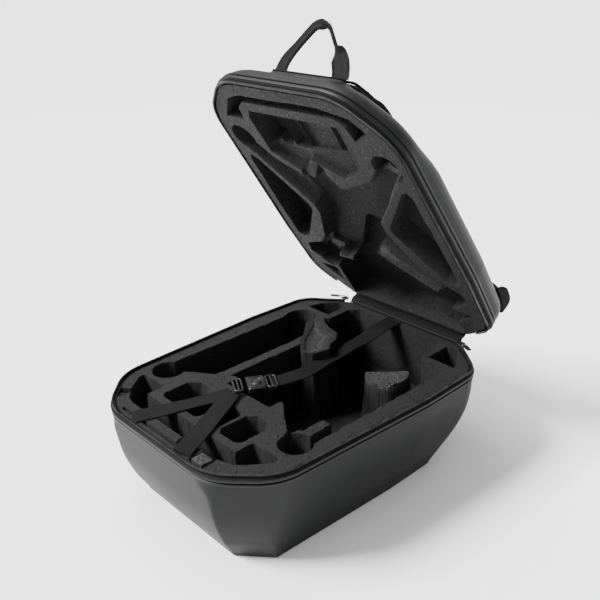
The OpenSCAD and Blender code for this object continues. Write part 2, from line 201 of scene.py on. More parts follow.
class Solid:
    """Closed surfaces gathered into one mesh, each with outward faces and lengthwise UVs."""

    def __init__(self) -> None:
        """Starts with nothing in it."""
        self.points: list[Array] = []
        self.faces: list[Array] = []
        self.uvs: list[Array] = []
        self.count = 0

    def add(self, points: Array, faces: list[Array], uvs: list[Array]) -> "Solid":
        """Adds one closed surface, turning its faces outward.

        Formula: the volume is the sum of a.(b x c)/6 over the faces' triangles; where it is below
        0, every face's order is reversed.

        Args:
            points: its points.
            faces: arrays of quads or triangles.
            uvs: a UV pair for each corner of each face.

        Returns:
            This solid.
        """
        volume = 0.0
        for f in faces:
            a, b, c = points[f[:, 0]], points[f[:, 1]], points[f[:, 2]]
            volume += np.einsum("ij,ij->", a, np.cross(b, c))
            if f.shape[1] == 4:
                volume += np.einsum("ij,ij->", a, np.cross(c, points[f[:, 3]]))
        if volume < 0:
            faces = [f[:, ::-1] for f in faces]
            uvs = [u[:, ::-1] for u in uvs]
        self.points.append(points)
        self.faces += [f + self.count for f in faces]
        self.uvs += uvs
        self.count += len(points)
        return self

    def loft(self, rings: Array, closed: bool = False, across: Array | None = None) -> "Solid":
        """Joins rings of equal size into a closed skin.

        Formula: point (i, j) of ring i joins its neighbours in a quad; an open stack is closed by
        a fan to the middle of its first and last ring.

        Args:
            rings: rings, points round a ring, xyz.
            closed: whether the last ring joins the first.
            across: distance round the ring for the UVs, one more value than points.

        Returns:
            This solid.
        """
        rows, cols = rings.shape[:2]
        step = np.linalg.norm(np.diff(rings, axis=0), axis=2).mean(1)
        wrap = np.linalg.norm(rings[0] - rings[-1], axis=1).mean()
        along = np.r_[0, np.cumsum(np.r_[step, wrap])]
        if across is None:
            round_step = np.linalg.norm(rings - np.roll(rings, -1, axis=1), axis=2).max(0)
            across = np.r_[0, np.cumsum(round_step)]
        i, j = np.meshgrid(np.arange(rows if closed else rows - 1), np.arange(cols), indexing="ij")
        i, j = i.ravel(), j.ravel()
        quads = np.stack([(a % rows) * cols + b % cols for a, b in ((i, j), (i, j + 1), (i + 1, j + 1),
                                                                    (i + 1, j))], 1)
        uv = np.stack([np.stack([along[a], across[b]], 1) for a, b in ((i, j), (i, j + 1), (i + 1, j + 1),
                (i + 1, j))], 1)
        points = rings.reshape(-1, 3)
        faces, uvs = [quads], [uv]
        if not closed:
            points = np.vstack([points, rings[0].mean(0), rings[-1].mean(0)])
            j = np.arange(cols)
            k = (j + 1) % cols
            low = np.stack([np.full(cols, rows * cols), k, j], 1)
            high = np.stack([np.full(cols, rows * cols + 1), (rows - 1) * cols + j, (rows - 1) * cols + k], 1)
            flat = np.zeros((cols, 3, 2))
            faces += [low, high]
            uvs += [flat + [along[0], 0], flat + [along[-2], 0]]
        return self.add(points, faces, uvs)

    def sweep(self, path: Array, profile: Array, up: Array, closed: bool = False) -> "Solid":
        """Carries a closed profile along a path.

        Formula: at each point the profile's X lies along tangent x up and its Y along
        (tangent x up) x tangent.

        Args:
            path: points of the path, xyz.
            profile: closed profile, or one profile for each path point.
            up: the direction that the profile's Y leans to, one or one a point.
            closed: whether the path joins itself.

        Returns:
            This solid.
        """
        if closed:
            tangent = unit(np.roll(path, -1, axis=0) - np.roll(path, 1, axis=0))
        else:
            tangent = unit(np.gradient(path, axis=0))
        side = unit(np.cross(tangent, np.broadcast_to(up, path.shape)))
        lift = np.cross(side, tangent)
        q = profile if profile.ndim == 3 else np.broadcast_to(profile, (len(path), *profile.shape))
        rings = path[:, None] + q[..., :1] * side[:, None] + q[..., 1:] * lift[:, None]
        return self.loft(rings, closed)

    def moved(self, move) -> "Solid":
        """The same solid with each set of points passed through move."""
        self.points = [move(p) for p in self.points]
        return self

    def mesh(self, name: str) -> bpy.types.Mesh:
        """The solid as a Blender mesh in metres, with its UV map in metres too."""
        points = np.vstack(self.points) * MM
        mesh = bpy.data.meshes.new(name)
        sizes = np.concatenate([np.full(len(f), f.shape[1]) for f in self.faces])
        corners = np.concatenate([f.ravel() for f in self.faces])
        mesh.vertices.add(len(points))
        mesh.vertices.foreach_set("co", points.astype(np.float32).ravel())
        mesh.loops.add(len(corners))
        mesh.loops.foreach_set("vertex_index", corners.astype(np.int32))
        mesh.polygons.add(len(sizes))
        mesh.polygons.foreach_set("loop_start", np.r_[0, np.cumsum(sizes)[:-1]].astype(np.int32))
        mesh.update(calc_edges=True)
        layer = mesh.uv_layers.new(name="surface")
        flat = np.concatenate([u.reshape(-1, 2) for u in self.uvs]) * MM
        layer.data.foreach_set("uv", flat.astype(np.float32).ravel())
        mesh.validate()
        return mesh


def place(
    solid: Solid | bpy.types.Mesh,
    name: str,
    body: Body,
    finish: "bpy.types.Material",
    replaces: tuple = (),
    sharp: float = 38.0,
    bend: tuple | None = None,
) -> bpy.types.Object:
    """Makes a piece, dresses it and lets it ride, or bakes its transform in when it is given a bend.

    Args:
        solid: the shape, in millimetres as a Solid or in metres as a mesh.
        name: the piece's name.
        body: the body that carries it.
        finish: its material.
        replaces: CAD nodes that it stands for.
        sharp: the angle between faces above which an edge stays hard.
        bend: when given, the piece's transform is baked into its mesh and it rides on no body; the points and the
            body in it are not used.

    Returns:
        The piece.
    """
    mesh = solid.mesh(name) if isinstance(solid, Solid) else solid
    mesh.polygons.foreach_set("use_smooth", np.ones(len(mesh.polygons), bool))
    mesh.set_sharp_from_angle(angle=math.radians(sharp))
    mesh.materials.clear()
    mesh.materials.append(finish)
    piece = bpy.data.objects.new(name, mesh)
    bpy.context.scene.collection.objects.link(piece)
    if bend:
        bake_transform(piece)
    else:
        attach(piece, body.value)
    if replaces:
        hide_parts(*replaces)
    LOG.info("%s: %d faces on %s", name, len(mesh.polygons), body.value)
    return piece




# ---------------------------------------------------------------- node groups


@dataclass
class Effect:
    """A shader node group under construction, with its named inputs and outputs."""

    name: str
    inputs: dict
    outputs: tuple

    def __post_init__(self) -> None:
        """Makes the empty group with its sockets."""
        self.tree = bpy.data.node_groups.new(self.name, "ShaderNodeTree")
        for label, value in self.inputs.items():
            kind = "NodeSocketVector" if value is None else "NodeSocketFloat"
            socket = self.tree.interface.new_socket(label, in_out="INPUT", socket_type=kind)
            if value is not None:
                socket.default_value = value
        for label in self.outputs:
            self.tree.interface.new_socket(label, in_out="OUTPUT", socket_type="NodeSocketFloat")
        self.enter = self.tree.nodes.new("NodeGroupInput")
        self.leave = self.tree.nodes.new("NodeGroupOutput")

    def out(self, label: str, source: bpy.types.NodeSocket) -> None:
        """Sends a value out of the group."""
        self.tree.links.new(source, self.leave.inputs[label])

    def get(self, label: str) -> bpy.types.NodeSocket:
        """The socket of one of the group's inputs."""
        return self.enter.outputs[label]


class Graph:
    """Short calls that place and join nodes in one node tree."""

    def __init__(self, tree: bpy.types.NodeTree) -> None:
        """Works on the given tree."""
        self.tree = tree

    def node(self, kind: str, **values) -> bpy.types.Node:
        """A new node; a value given for an attribute or an input is set, and a socket is linked."""
        made = self.tree.nodes.new(kind)
        for key, value in values.items():
            if key in made.bl_rna.properties and not key.startswith("in_"):
                setattr(made, key, value)
                continue
            label = key.removeprefix("in_")
            socket = made.inputs[int(label)] if label.isdigit() else made.inputs[label.replace("_", " ")]
            if isinstance(value, bpy.types.NodeSocket):
                self.tree.links.new(value, socket)
            else:
                socket.default_value = value
        return made

    def math(self, operation: str, a, b=0.0, c=0.0, clamp: bool = False) -> bpy.types.NodeSocket:
        """A Math node of that operation on values or sockets."""
        made = self.node("ShaderNodeMath", operation=operation, use_clamp=clamp, in_0=a, in_1=b)
        if operation in ("MULTIPLY_ADD", "SMOOTH_MIN", "WRAP"):
            if isinstance(c, bpy.types.NodeSocket):
                self.tree.links.new(c, made.inputs[2])
            else:
                made.inputs[2].default_value = c
        return made.outputs[0]

    def ramp(self, value: bpy.types.NodeSocket, low: float, high: float) -> bpy.types.NodeSocket:
        """Smooth step of a value from low to high, 0 to 1."""
        made = self.node("ShaderNodeMapRange", interpolation_type="SMOOTHSTEP", in_0=value)
        made.inputs[1].default_value, made.inputs[2].default_value = low, high
        return made.outputs[0]

    def noise(self, where: bpy.types.NodeSocket, scale, detail: float = 3.0, rough: float = 0.55):
        """Value of a Noise texture at a place."""
        return self.node("ShaderNodeTexNoise", Vector=where, Scale=scale, Detail=detail, Roughness=rough).outputs[0]

    def cells(self, where: bpy.types.NodeSocket, scale, feature: str = "F1") -> bpy.types.Node:
        """A Voronoi texture of that feature at a place."""
        return self.node("ShaderNodeTexVoronoi", feature=feature, Vector=where, Scale=scale)

    def mix(self, share, a, b) -> bpy.types.NodeSocket:
        """Colour between a and b by a share."""
        made = self.tree.nodes.new("ShaderNodeMix")
        made.data_type = "RGBA"
        for socket, value in ((made.inputs[0], share), (made.inputs[6], a), (made.inputs[7], b)):
            if isinstance(value, bpy.types.NodeSocket):
                self.tree.links.new(value, socket)
            else:
                socket.default_value = value if isinstance(value, float) else (*value, 1.0)
        return made.outputs[2]


def group_grain() -> bpy.types.NodeTree:
    """Moulded plastic grain: fine pits over slow waves, as a height and a cloudy mask."""
    fx = Effect("moulded_grain", {"Place": None, "Fine": 1400.0, "Broad": 9.0}, ("Height", "Cloud"))
    g = Graph(fx.tree)
    fine = g.noise(fx.get("Place"), fx.get("Fine"), 2.0, 0.6)
    fx.out("Height", fine)
    fx.out("Cloud", g.noise(fx.get("Place"), fx.get("Broad"), 4.0, 0.6))
    return fx.tree


def group_beads() -> bpy.types.NodeTree:
    """Moulded bead foam: swollen bead cells parted by grooves, with a speckle of shades."""
    fx = Effect("foam_beads", {"Place": None, "Beads": 330.0}, ("Height", "Groove", "Shade", "Spark"))
    g = Graph(fx.tree)
    wobble = g.node("ShaderNodeVectorMath", operation="SCALE", in_0=g.node(
        "ShaderNodeTexNoise", Vector=fx.get("Place"), Scale=120.0, Detail=1.0).outputs[1])
    wobble.inputs["Scale"].default_value = 0.0012
    at = g.node("ShaderNodeVectorMath", operation="ADD", in_0=fx.get("Place"), in_1=wobble.outputs[0]).outputs[0]
    edge = g.cells(at, fx.get("Beads"), "DISTANCE_TO_EDGE").outputs["Distance"]
    cell = g.cells(at, fx.get("Beads"))
    dome = g.math("SUBTRACT", 1.0, cell.outputs["Distance"])
    groove = g.math("SUBTRACT", 1.0, g.ramp(edge, 0.0, 0.16))
    tint = g.node("ShaderNodeSeparateColor", Color=cell.outputs["Color"])
    grit = g.noise(fx.get("Place"), 2300.0, 2.0, 0.7)
    fx.out("Height", g.math("MULTIPLY_ADD", grit, 0.35, g.math("MULTIPLY_ADD", groove, -0.8, dome)))
    fx.out("Groove", groove)
    fx.out("Shade", g.math("MULTIPLY_ADD", tint.outputs[0], 0.6, g.math("MULTIPLY", grit, 0.6)))
    fx.out("Spark", g.ramp(tint.outputs[1], 0.9, 0.97))
    return fx.tree


def group_vents() -> bpy.types.NodeTree:
    """Short dashes that steam vents leave in moulded foam, in rows at a regular spacing."""
    fx = Effect("vent_dashes", {"Place": None, "Rows": 52.0, "Length": 0.34, "Width": 0.12}, ("Mark",))
    g = Graph(fx.tree)
    cell = g.node("ShaderNodeTexVoronoi", feature="F1", Vector=fx.get("Place"), Scale=fx.get("Rows"),
                  Randomness=0.35)
    away = g.node("ShaderNodeVectorMath", operation="SUBTRACT", in_0=fx.get("Place"), in_1=cell.outputs["Position"])
    spun = g.node("ShaderNodeVectorRotate", rotation_type="Z_AXIS", Vector=away.outputs[0])
    tint = g.node("ShaderNodeSeparateColor", Color=cell.outputs["Color"])
    fx.tree.links.new(g.math("MULTIPLY", tint.outputs[0], 2.6), spun.inputs["Angle"])
    part = g.node("ShaderNodeSeparateXYZ", Vector=spun.outputs[0])
    scaled = [g.math("MULTIPLY", g.math("ABSOLUTE", part.outputs[k]), fx.get("Rows")) for k in (0, 1)]
    long = g.math("DIVIDE", scaled[0], fx.get("Length"))
    wide = g.math("DIVIDE", scaled[1], fx.get("Width"))
    reach = g.math("SQRT", g.math("ADD", g.math("MULTIPLY", long, long), g.math("MULTIPLY", wide, wide)))
    mark = g.math("SUBTRACT", 1.0, g.ramp(reach, 0.35, 0.75))
    fx.out("Mark", g.math("MULTIPLY", mark, g.ramp(tint.outputs[1], 0.2, 0.35)))
    return fx.tree


def group_weave() -> bpy.types.NodeTree:
    """Ribbed webbing: rows of yarns across the strap, each row shifted by half a yarn.

    Along is the distance along the strap and Across the distance over it, in metres, from the UVs.
    """
    fx = Effect("webbing_weave", {"Map": None, "Pitch": 0.0019, "Ribs": 0.0026}, ("Height", "Gap"))
    g = Graph(fx.tree)
    part = g.node("ShaderNodeSeparateXYZ", Vector=fx.get("Map"))
    column = g.math("DIVIDE", part.outputs[1], fx.get("Ribs"))
    shift = g.math("MULTIPLY", g.math("MODULO", g.math("FLOOR", column), 2.0), 0.5)
    row = g.math("ADD", g.math("DIVIDE", part.outputs[0], fx.get("Pitch")), shift)
    yarn = g.math("ABSOLUTE", g.math("SINE", g.math("MULTIPLY", row, math.pi)))
    rib = g.math("ABSOLUTE", g.math("SINE", g.math("MULTIPLY", column, math.pi)))
    height = g.math("MULTIPLY", g.math("POWER", yarn, 0.6), g.math("POWER", rib, 0.5))
    fx.out("Height", height)
    fx.out("Gap", g.math("SUBTRACT", 1.0, g.ramp(height, 0.1, 0.6)))
    return fx.tree


def group_mesh_cloth() -> bpy.types.NodeTree:
    """Spacer mesh: a grid of small open holes between knitted threads."""
    fx = Effect("spacer_mesh", {"Place": None, "Holes": 380.0}, ("Height", "Hole"))
    g = Graph(fx.tree)
    cell = g.node("ShaderNodeTexVoronoi", feature="F1", Vector=fx.get("Place"), Scale=fx.get("Holes"),
                  Randomness=0.12)
    hole = g.math("SUBTRACT", 1.0, g.ramp(cell.outputs["Distance"], 0.2, 0.42))
    grit = g.noise(fx.get("Place"), 2600.0, 2.0)
    fx.out("Height", g.math("MULTIPLY_ADD", hole, -1.0, g.math("MULTIPLY", grit, 0.4)))
    fx.out("Hole", hole)
    return fx.tree


def group_dust() -> bpy.types.NodeTree:
    """Thin dust: small specks and soft smears, as a mask."""
    fx = Effect("thin_dust", {"Place": None, "Specks": 260.0, "Amount": 0.5}, ("Mask",))
    g = Graph(fx.tree)
    speck = g.cells(fx.get("Place"), fx.get("Specks"))
    tint = g.node("ShaderNodeSeparateColor", Color=speck.outputs["Color"])
    dot = g.math("MULTIPLY", g.math("SUBTRACT", 1.0, g.ramp(speck.outputs["Distance"], 0.05, 0.16)),
                 g.ramp(tint.outputs[0], 0.82, 0.95))
    smear = g.ramp(g.noise(fx.get("Place"), 16.0, 5.0, 0.65), 0.48, 0.75)
    fx.out("Mask", g.math("MULTIPLY", g.math("MULTIPLY_ADD", smear, 0.35, dot), fx.get("Amount"), clamp=True))
    return fx.tree


def group_wear() -> bpy.types.NodeTree:
    """Edge wear: convex edges broken up by noise, as a mask."""
    fx = Effect("edge_wear", {"Place": None, "Start": 0.53, "Full": 0.62}, ("Mask",))
    g = Graph(fx.tree)
    point = g.node("ShaderNodeNewGeometry").outputs["Pointiness"]
    edge = g.node("ShaderNodeMapRange", in_0=point, in_1=fx.get("Start"), in_2=fx.get("Full")).outputs[0]
    fx.out("Mask", g.math("MULTIPLY", edge, g.ramp(g.noise(fx.get("Place"), 90.0, 4.0), 0.35, 0.6), clamp=True))
    return fx.tree


# ------------------------------------------------------------------- finishes


class Finishes:
    """Every material of the case, made once; each method makes one."""

    def __init__(self) -> None:
        """Builds the shared effects, then the materials that use them."""
        self.grain, self.beads, self.vents = group_grain(), group_beads(), group_vents()
        self.weave, self.knit = group_weave(), group_mesh_cloth()
        self.dust, self.wear = group_dust(), group_wear()
        self.shell = self.moulded("shell_plastic", (0.0072, 0.0074, 0.0077), 0.48, 0.10, 1500.0, 0.01, 0.14)
        self.rim = self.moulded("rim_rubber", (0.0035, 0.0036, 0.0038), 0.46, 0.12, 1100.0, 0.012, 0.2)
        self.clip = self.moulded("buckle_plastic", (0.004, 0.004, 0.0042), 0.3, 0.08, 1900.0, 0.03, 0.4)
        self.coil = self.moulded("zipper_coil", (0.003, 0.003, 0.0033), 0.38, 0.1, 1900.0, 0.02, 0.3)
        self.foam = self.bead_foam("bead_foam", (0.0062, 0.0060, 0.0059), 0.82, 0.9, 560.0)
        self.block = self.bead_foam("cut_foam", (0.018, 0.018, 0.0176), 0.86, 0.7, 360.0)
        self.web = self.webbing("strap_webbing", (0.0035, 0.0036, 0.0038), 0.0017, 0.0023)
        self.grip = self.webbing("handle_webbing", (0.0035, 0.0036, 0.0038), 0.0021, 0.0029)
        self.tape = self.webbing("zipper_tape", (0.003, 0.003, 0.0032), 0.0011, 0.0012)
        self.binding = self.webbing("edge_binding", (0.004, 0.0041, 0.0043), 0.0012, 0.0016)
        self.cloth = self.fabric("gusset_cloth", (0.003, 0.003, 0.0032), 1100.0)
        self.piping = self.fabric("corded_edge", (0.012, 0.0122, 0.0126), 1500.0)
        self.mesh = self.spacer("back_mesh", (0.005, 0.005, 0.0053), 330.0)
        self.pad = self.spacer("strap_mesh", (0.006, 0.006, 0.0063), 420.0)
        self.metal = self.plated("zipper_metal", (0.10, 0.102, 0.105), 0.4)
        self.rivet = self.plated("rivet_metal", (0.1, 0.1, 0.104), 0.4)
        self.thread = self.fabric("sewing_thread", (0.01, 0.01, 0.0105), 2600.0)

    def start(self, name: str) -> tuple[bpy.types.Material, Graph, bpy.types.Node, bpy.types.NodeSocket]:
        """An empty material with its shader, and the place on the piece that patterns read."""
        made = bpy.data.materials.new(name)
        made.use_nodes = True
        g = Graph(made.node_tree)
        shader = next(n for n in made.node_tree.nodes if n.type == "BSDF_PRINCIPLED")
        place_at = g.node("ShaderNodeTexCoord").outputs["Object"]
        return made, g, shader, place_at

    def effect(self, g: Graph, tree: bpy.types.NodeTree, place_at: bpy.types.NodeSocket,
               **values) -> bpy.types.Node:
        """One of the shared effects placed in a material with its own values."""
        made = g.tree.nodes.new("ShaderNodeGroup")
        made.node_tree = tree
        g.tree.links.new(place_at, made.inputs[0])
        for label, value in values.items():
            made.inputs[label].default_value = value
        return made

    def bump(self, g: Graph, shader: bpy.types.Node, height, strength: float, depth: float) -> None:
        """Feeds a height to the shader's normal."""
        made = g.node("ShaderNodeBump", Strength=strength, Distance=depth, Height=height)
        g.tree.links.new(made.outputs[0], shader.inputs["Normal"])

    def moulded(self, name: str, colour: tuple, rough: float, spread: float, fine: float, worn: float,
                gloss: float):
        """Moulded plastic: grained, a little cloudy, lighter at worn edges, with thin dust.

        Args:
            name: the material's name.
            colour: its base colour.
            rough: its mean roughness.
            spread: how far the roughness wanders.
            fine: the grain's scale.
            worn: how much lighter a worn edge is.
            gloss: its specular level.

        Returns:
            The material.
        """
        made, g, shader, at = self.start(name)
        grain = self.effect(g, self.grain, at, Fine=fine)
        worn_mask = self.effect(g, self.wear, at).outputs["Mask"]
        dusty = self.effect(g, self.dust, at, Amount=0.25).outputs["Mask"]
        dark, light = tuple(c * 0.86 for c in colour), tuple(c * 1.16 for c in colour)
        base = g.mix(g.ramp(grain.outputs["Cloud"], 0.3, 0.7), dark, light)
        base = g.mix(worn_mask, base, tuple(c + worn for c in colour))
        base = g.mix(dusty, base, (0.03, 0.0295, 0.029))
        g.tree.links.new(base, shader.inputs["Base Color"])
        shader.inputs["Specular IOR Level"].default_value = gloss
        wander = g.math("MULTIPLY_ADD", grain.outputs["Cloud"], spread, rough - spread / 2)
        g.tree.links.new(g.math("MULTIPLY_ADD", dusty, 0.25, wander), shader.inputs["Roughness"])
        self.bump(g, shader, grain.outputs["Height"], 0.16, 0.00012)
        return made

    def bead_foam(self, name: str, colour: tuple, rough: float, strength: float, beads: float):
        """Moulded bead foam, with vent dashes and glossier moulded skin where the piece says so.

        The piece's skin attribute, 0 to 1, says where the foam has a glossy moulded surface; there the roughness
        drops and the base colour is lifted to a much lighter shade, a painted sheen.
        """
        made, g, shader, at = self.start(name)
        foam = self.effect(g, self.beads, at, Beads=beads)
        mark = self.effect(g, self.vents, at).outputs["Mark"]
        dusty = self.effect(g, self.dust, at, Amount=0.22, Specks=190.0).outputs["Mask"]
        skin = g.node("ShaderNodeAttribute", attribute_name="skin").outputs["Fac"]
        dark, light = tuple(c * 0.45 for c in colour), tuple(c * 1.9 for c in colour)
        base = g.mix(g.ramp(foam.outputs["Shade"], 0.2, 0.95), dark, light)
        base = g.mix(foam.outputs["Groove"], base, tuple(c * 0.35 for c in colour))
        base = g.mix(mark, base, tuple(c * 0.12 for c in colour))
        base = g.mix(dusty, base, (0.03, 0.0293, 0.0285))
        # painted sheen: where the skin attribute is high, the base colour is lifted towards 7.5 times the foam
        # colour
        base = g.mix(g.math("MULTIPLY", skin, g.ramp(foam.outputs["Shade"], 0.25, 0.8)), base,
                     tuple(c * 7.5 for c in colour))
        g.tree.links.new(base, shader.inputs["Base Color"])
        shader.inputs["Specular IOR Level"].default_value = 0.3
        shine = g.math("MULTIPLY_ADD", skin, -0.52, rough)
        shine = g.math("MULTIPLY_ADD", foam.outputs["Spark"], -0.3, shine, clamp=True)
        g.tree.links.new(g.math("MAXIMUM", shine, 0.2), shader.inputs["Roughness"])
        height = g.math("MULTIPLY_ADD", mark, -3.0, foam.outputs["Height"])
        self.bump(g, shader, height, strength, 0.0006)
        return made

    def webbing(self, name: str, colour: tuple, pitch: float, ribs: float):
        """Woven webbing that follows the piece's own UVs."""
        made, g, shader, at = self.start(name)
        uv = g.node("ShaderNodeUVMap", uv_map="surface").outputs[0]
        cloth = self.effect(g, self.weave, uv, Pitch=pitch, Ribs=ribs)
        cloud = self.effect(g, self.grain, at, Broad=28.0).outputs["Cloud"]
        base = g.mix(g.ramp(cloud, 0.3, 0.7), tuple(c * 0.8 for c in colour), tuple(c * 1.3 for c in colour))
        base = g.mix(cloth.outputs["Gap"], base, tuple(c * 0.35 for c in colour))
        g.tree.links.new(base, shader.inputs["Base Color"])
        g.tree.links.new(g.math("MULTIPLY_ADD", cloth.outputs["Gap"], 0.25, 0.62), shader.inputs["Roughness"])
        shader.inputs["Specular IOR Level"].default_value = 0.1
        shader.inputs["Sheen Weight"].default_value = 0.012
        shader.inputs["Sheen Roughness"].default_value = 0.45
        self.bump(g, shader, cloth.outputs["Height"], 0.7, 0.0003)
        return made

    def fabric(self, name: str, colour: tuple, threads: float):
        """Dense cloth or cord with a fine fibrous grain."""
        made, g, shader, at = self.start(name)
        fibre = self.effect(g, self.grain, at, Fine=threads, Broad=40.0)
        base = g.mix(fibre.outputs["Cloud"], tuple(c * 0.7 for c in colour), tuple(c * 1.35 for c in colour))
        g.tree.links.new(base, shader.inputs["Base Color"])
        g.tree.links.new(g.math("MULTIPLY_ADD", fibre.outputs["Height"], 0.2, 0.7), shader.inputs["Roughness"])
        shader.inputs["Specular IOR Level"].default_value = 0.1
        shader.inputs["Sheen Weight"].default_value = 0.012
        self.bump(g, shader, fibre.outputs["Height"], 0.6, 0.0004)
        return made

    def spacer(self, name: str, colour: tuple, holes: float):
        """Breathable spacer mesh with open holes."""
        made, g, shader, at = self.start(name)
        knit = self.effect(g, self.knit, at, Holes=holes)
        cloud = self.effect(g, self.grain, at, Broad=22.0).outputs["Cloud"]
        base = g.mix(g.ramp(cloud, 0.3, 0.7), tuple(c * 0.8 for c in colour), tuple(c * 1.25 for c in colour))
        base = g.mix(knit.outputs["Hole"], base, tuple(c * 0.2 for c in colour))
        g.tree.links.new(base, shader.inputs["Base Color"])
        g.tree.links.new(g.math("MULTIPLY_ADD", knit.outputs["Hole"], 0.2, 0.68), shader.inputs["Roughness"])
        shader.inputs["Specular IOR Level"].default_value = 0.1
        shader.inputs["Sheen Weight"].default_value = 0.012
        self.bump(g, shader, knit.outputs["Height"], 0.6, 0.0007)
        return made

    def plated(self, name: str, colour: tuple, rough: float):
        """Plated metal with fine scratches and dull patches."""
        made, g, shader, at = self.start(name)
        grain = self.effect(g, self.grain, at, Fine=900.0, Broad=260.0)
        base = g.mix(grain.outputs["Cloud"], tuple(c * 0.75 for c in colour), colour)
        g.tree.links.new(base, shader.inputs["Base Color"])
        shader.inputs["Metallic"].default_value = 1.0
        g.tree.links.new(g.math("MULTIPLY_ADD", grain.outputs["Cloud"], 0.25, rough - 0.12),
                         shader.inputs["Roughness"])
        self.bump(g, shader, grain.outputs["Height"], 0.2, 0.0001)
        return made


# --------------------------------------------------------------- case outlines

RIM = [(89.8, -131.2, 72), (71.2, -149, 72), (140.5, 70, 30), (126, 150, 42), (88, 178, 43)]
WAIST = [(116.5, -154, 24), (87.5, -183, 24), (126, 66, 24), (113, 141, 38), (71, 171, 38)]
FOOT = [(120.5, -144, 9), (86.5, -174, 9), (127, 42, 9), (114.5, 116, 20), (80, 143, 20)]
RUN_ORDER = ((4, -1), (3, -1), (2, -1), (0, -1), (1, -1), (1, 1), (0, 1), (2, 1), (3, 1), (4, 1))
HINGE_Y, HINGE_Z, BASE_H = 224.0, 137.0, 142.0
TAPE_END_Y = 211.0
LID_TAPE_END_Y = 194.0
CORNER_DRAW = ((16, 22, 30, 36, 42, 50, 60), (0, 3, 9, 14, 19, 22, 22))
END_DRAW = ((17, 22, 30, 36, 42, 47, 50, 50.3), (0, 1, 5, 9, 12, 8, 2, 0))


@dataclass(frozen=True)
class Outline:
    """The case's plan outline: ten circles, mirrored about X = 0, and the belt pulled round them."""

    circles: tuple

    @classmethod
    def of(cls, right_half: list) -> "Outline":
        """The outline whose right half has these circles, anticlockwise from the hinge's left."""
        return cls(tuple((right_half[k][0] * side, *right_half[k][1:]) for k, side in RUN_ORDER))

    @classmethod
    def between(cls, a: "Outline", b: "Outline", t: float) -> "Outline":
        """The outline at share t of the way from a to b."""
        p, q = np.array(a.circles), np.array(b.circles)
        return cls(tuple(map(tuple, p + (q - p) * t)))

    def ring(self, inset: float = 0.0, per_arc: int = 8, per_edge: int = 6, crisp: dict | None = None) -> Array:
        """The belt as one closed ring of points, with fixed columns for arcs and straight runs.

        Formula: the tangent from circle i to circle i+1 has the outward normal at angle
        phi - acos((r_i - r_(i+1)) / L), where phi is the bearing and L the distance between their
        middles; an arc at circle i runs between its two tangents' normals. A crisp corner keeps
        the same tangents and gets a smaller circle nearer to where they meet.

        Args:
            inset: how far the ring lies inside the belt.
            per_arc: points on each arc.
            per_edge: points inside each straight run.
            crisp: corner index to radius, for corners drawn sharper.

        Returns:
            The ring, anticlockwise, two columns.
        """
        c = np.array(self.circles, float)
        nxt = np.roll(c, -1, axis=0)
        d = nxt[:, :2] - c[:, :2]
        length = np.hypot(d[:, 0], d[:, 1])
        turn = np.arctan2(d[:, 1], d[:, 0]) - np.arccos(np.clip((c[:, 2] - nxt[:, 2]) / length, -1, 1))
        before = np.roll(turn, 1)
        sweep = np.mod(turn - before, 2 * math.pi)
        middle, radius = c[:, :2].copy(), c[:, 2].copy()
        for k, r in (crisp or {}).items():
            bisector = before[k] + sweep[k] / 2
            gap = (radius[k] - r) / math.cos(sweep[k] / 2)
            middle[k] += gap * np.array([math.cos(bisector), math.sin(bisector)])
            radius[k] = r
        at = before[:, None] + sweep[:, None] * np.linspace(0, 1, per_arc)
        r = np.maximum(radius - inset, 0.3)[:, None]
        arcs = middle[:, None] + r[..., None] * np.stack([np.cos(at), np.sin(at)], 2)
        start, end = arcs[:, -1], np.roll(arcs, -1, axis=0)[:, 0]
        t = np.linspace(0, 1, per_edge + 2)[1:-1][None, :, None]
        runs = start[:, None] + (end - start)[:, None] * t
        return np.concatenate([arcs, runs], axis=1).reshape(-1, 2)

    def even(self, inset: float, count: int) -> Array:
        """The belt at even steps, as a closed loop that doesn't repeat its first point."""
        ring = self.ring(inset, 24, 4)
        return even_path(np.vstack([ring, ring[:1]]), count + 1)[:-1]

    def distance(self, x: Array, y: Array, inset: float = 0.0) -> Array:
        """Signed distance from the belt drawn in by inset, below 0 inside.

        Formula: the distance to the nearest edge of the closed run of points round the belt.
        """
        return polygon_distance(x, y, self.ring(inset, 6, 0))

    def grid(self, u: Array, v: Array, inset: float = 0.0) -> tuple[Array, Array]:
        """X and Y for shares u across (-1 to 1) and v along (0 nose, 1 hinge) of the outline.

        Formula: y runs evenly from end to end, and x is u times the half width at that y.
        """
        p = self.ring(inset, 40, 2)
        right = p[p[:, 0] > 0]
        right = right[np.argsort(right[:, 1])]
        y = right[0, 1] + (right[-1, 1] - right[0, 1]) * v
        half = np.interp(y, right[:, 1], right[:, 0])
        return u * half, y


OUTER, WAIST_LINE, FOOT_LINE = Outline.of(RIM), Outline.of(WAIST), Outline.of(FOOT)


def open_run(line: Array, limit: float = TAPE_END_Y) -> Array:
    """The part of a closed loop short of a Y limit, from the hinge's left round the nose.

    Args:
        line: the closed loop, anticlockwise.
        limit: the Y where the run stops at both ends.

    Returns:
        The run's points in order.
    """
    keep = line[:, 1] <= limit
    start = int(np.flatnonzero(keep & ~np.roll(keep, 1))[0])
    return np.roll(line, -start, axis=0)[: keep.sum()]


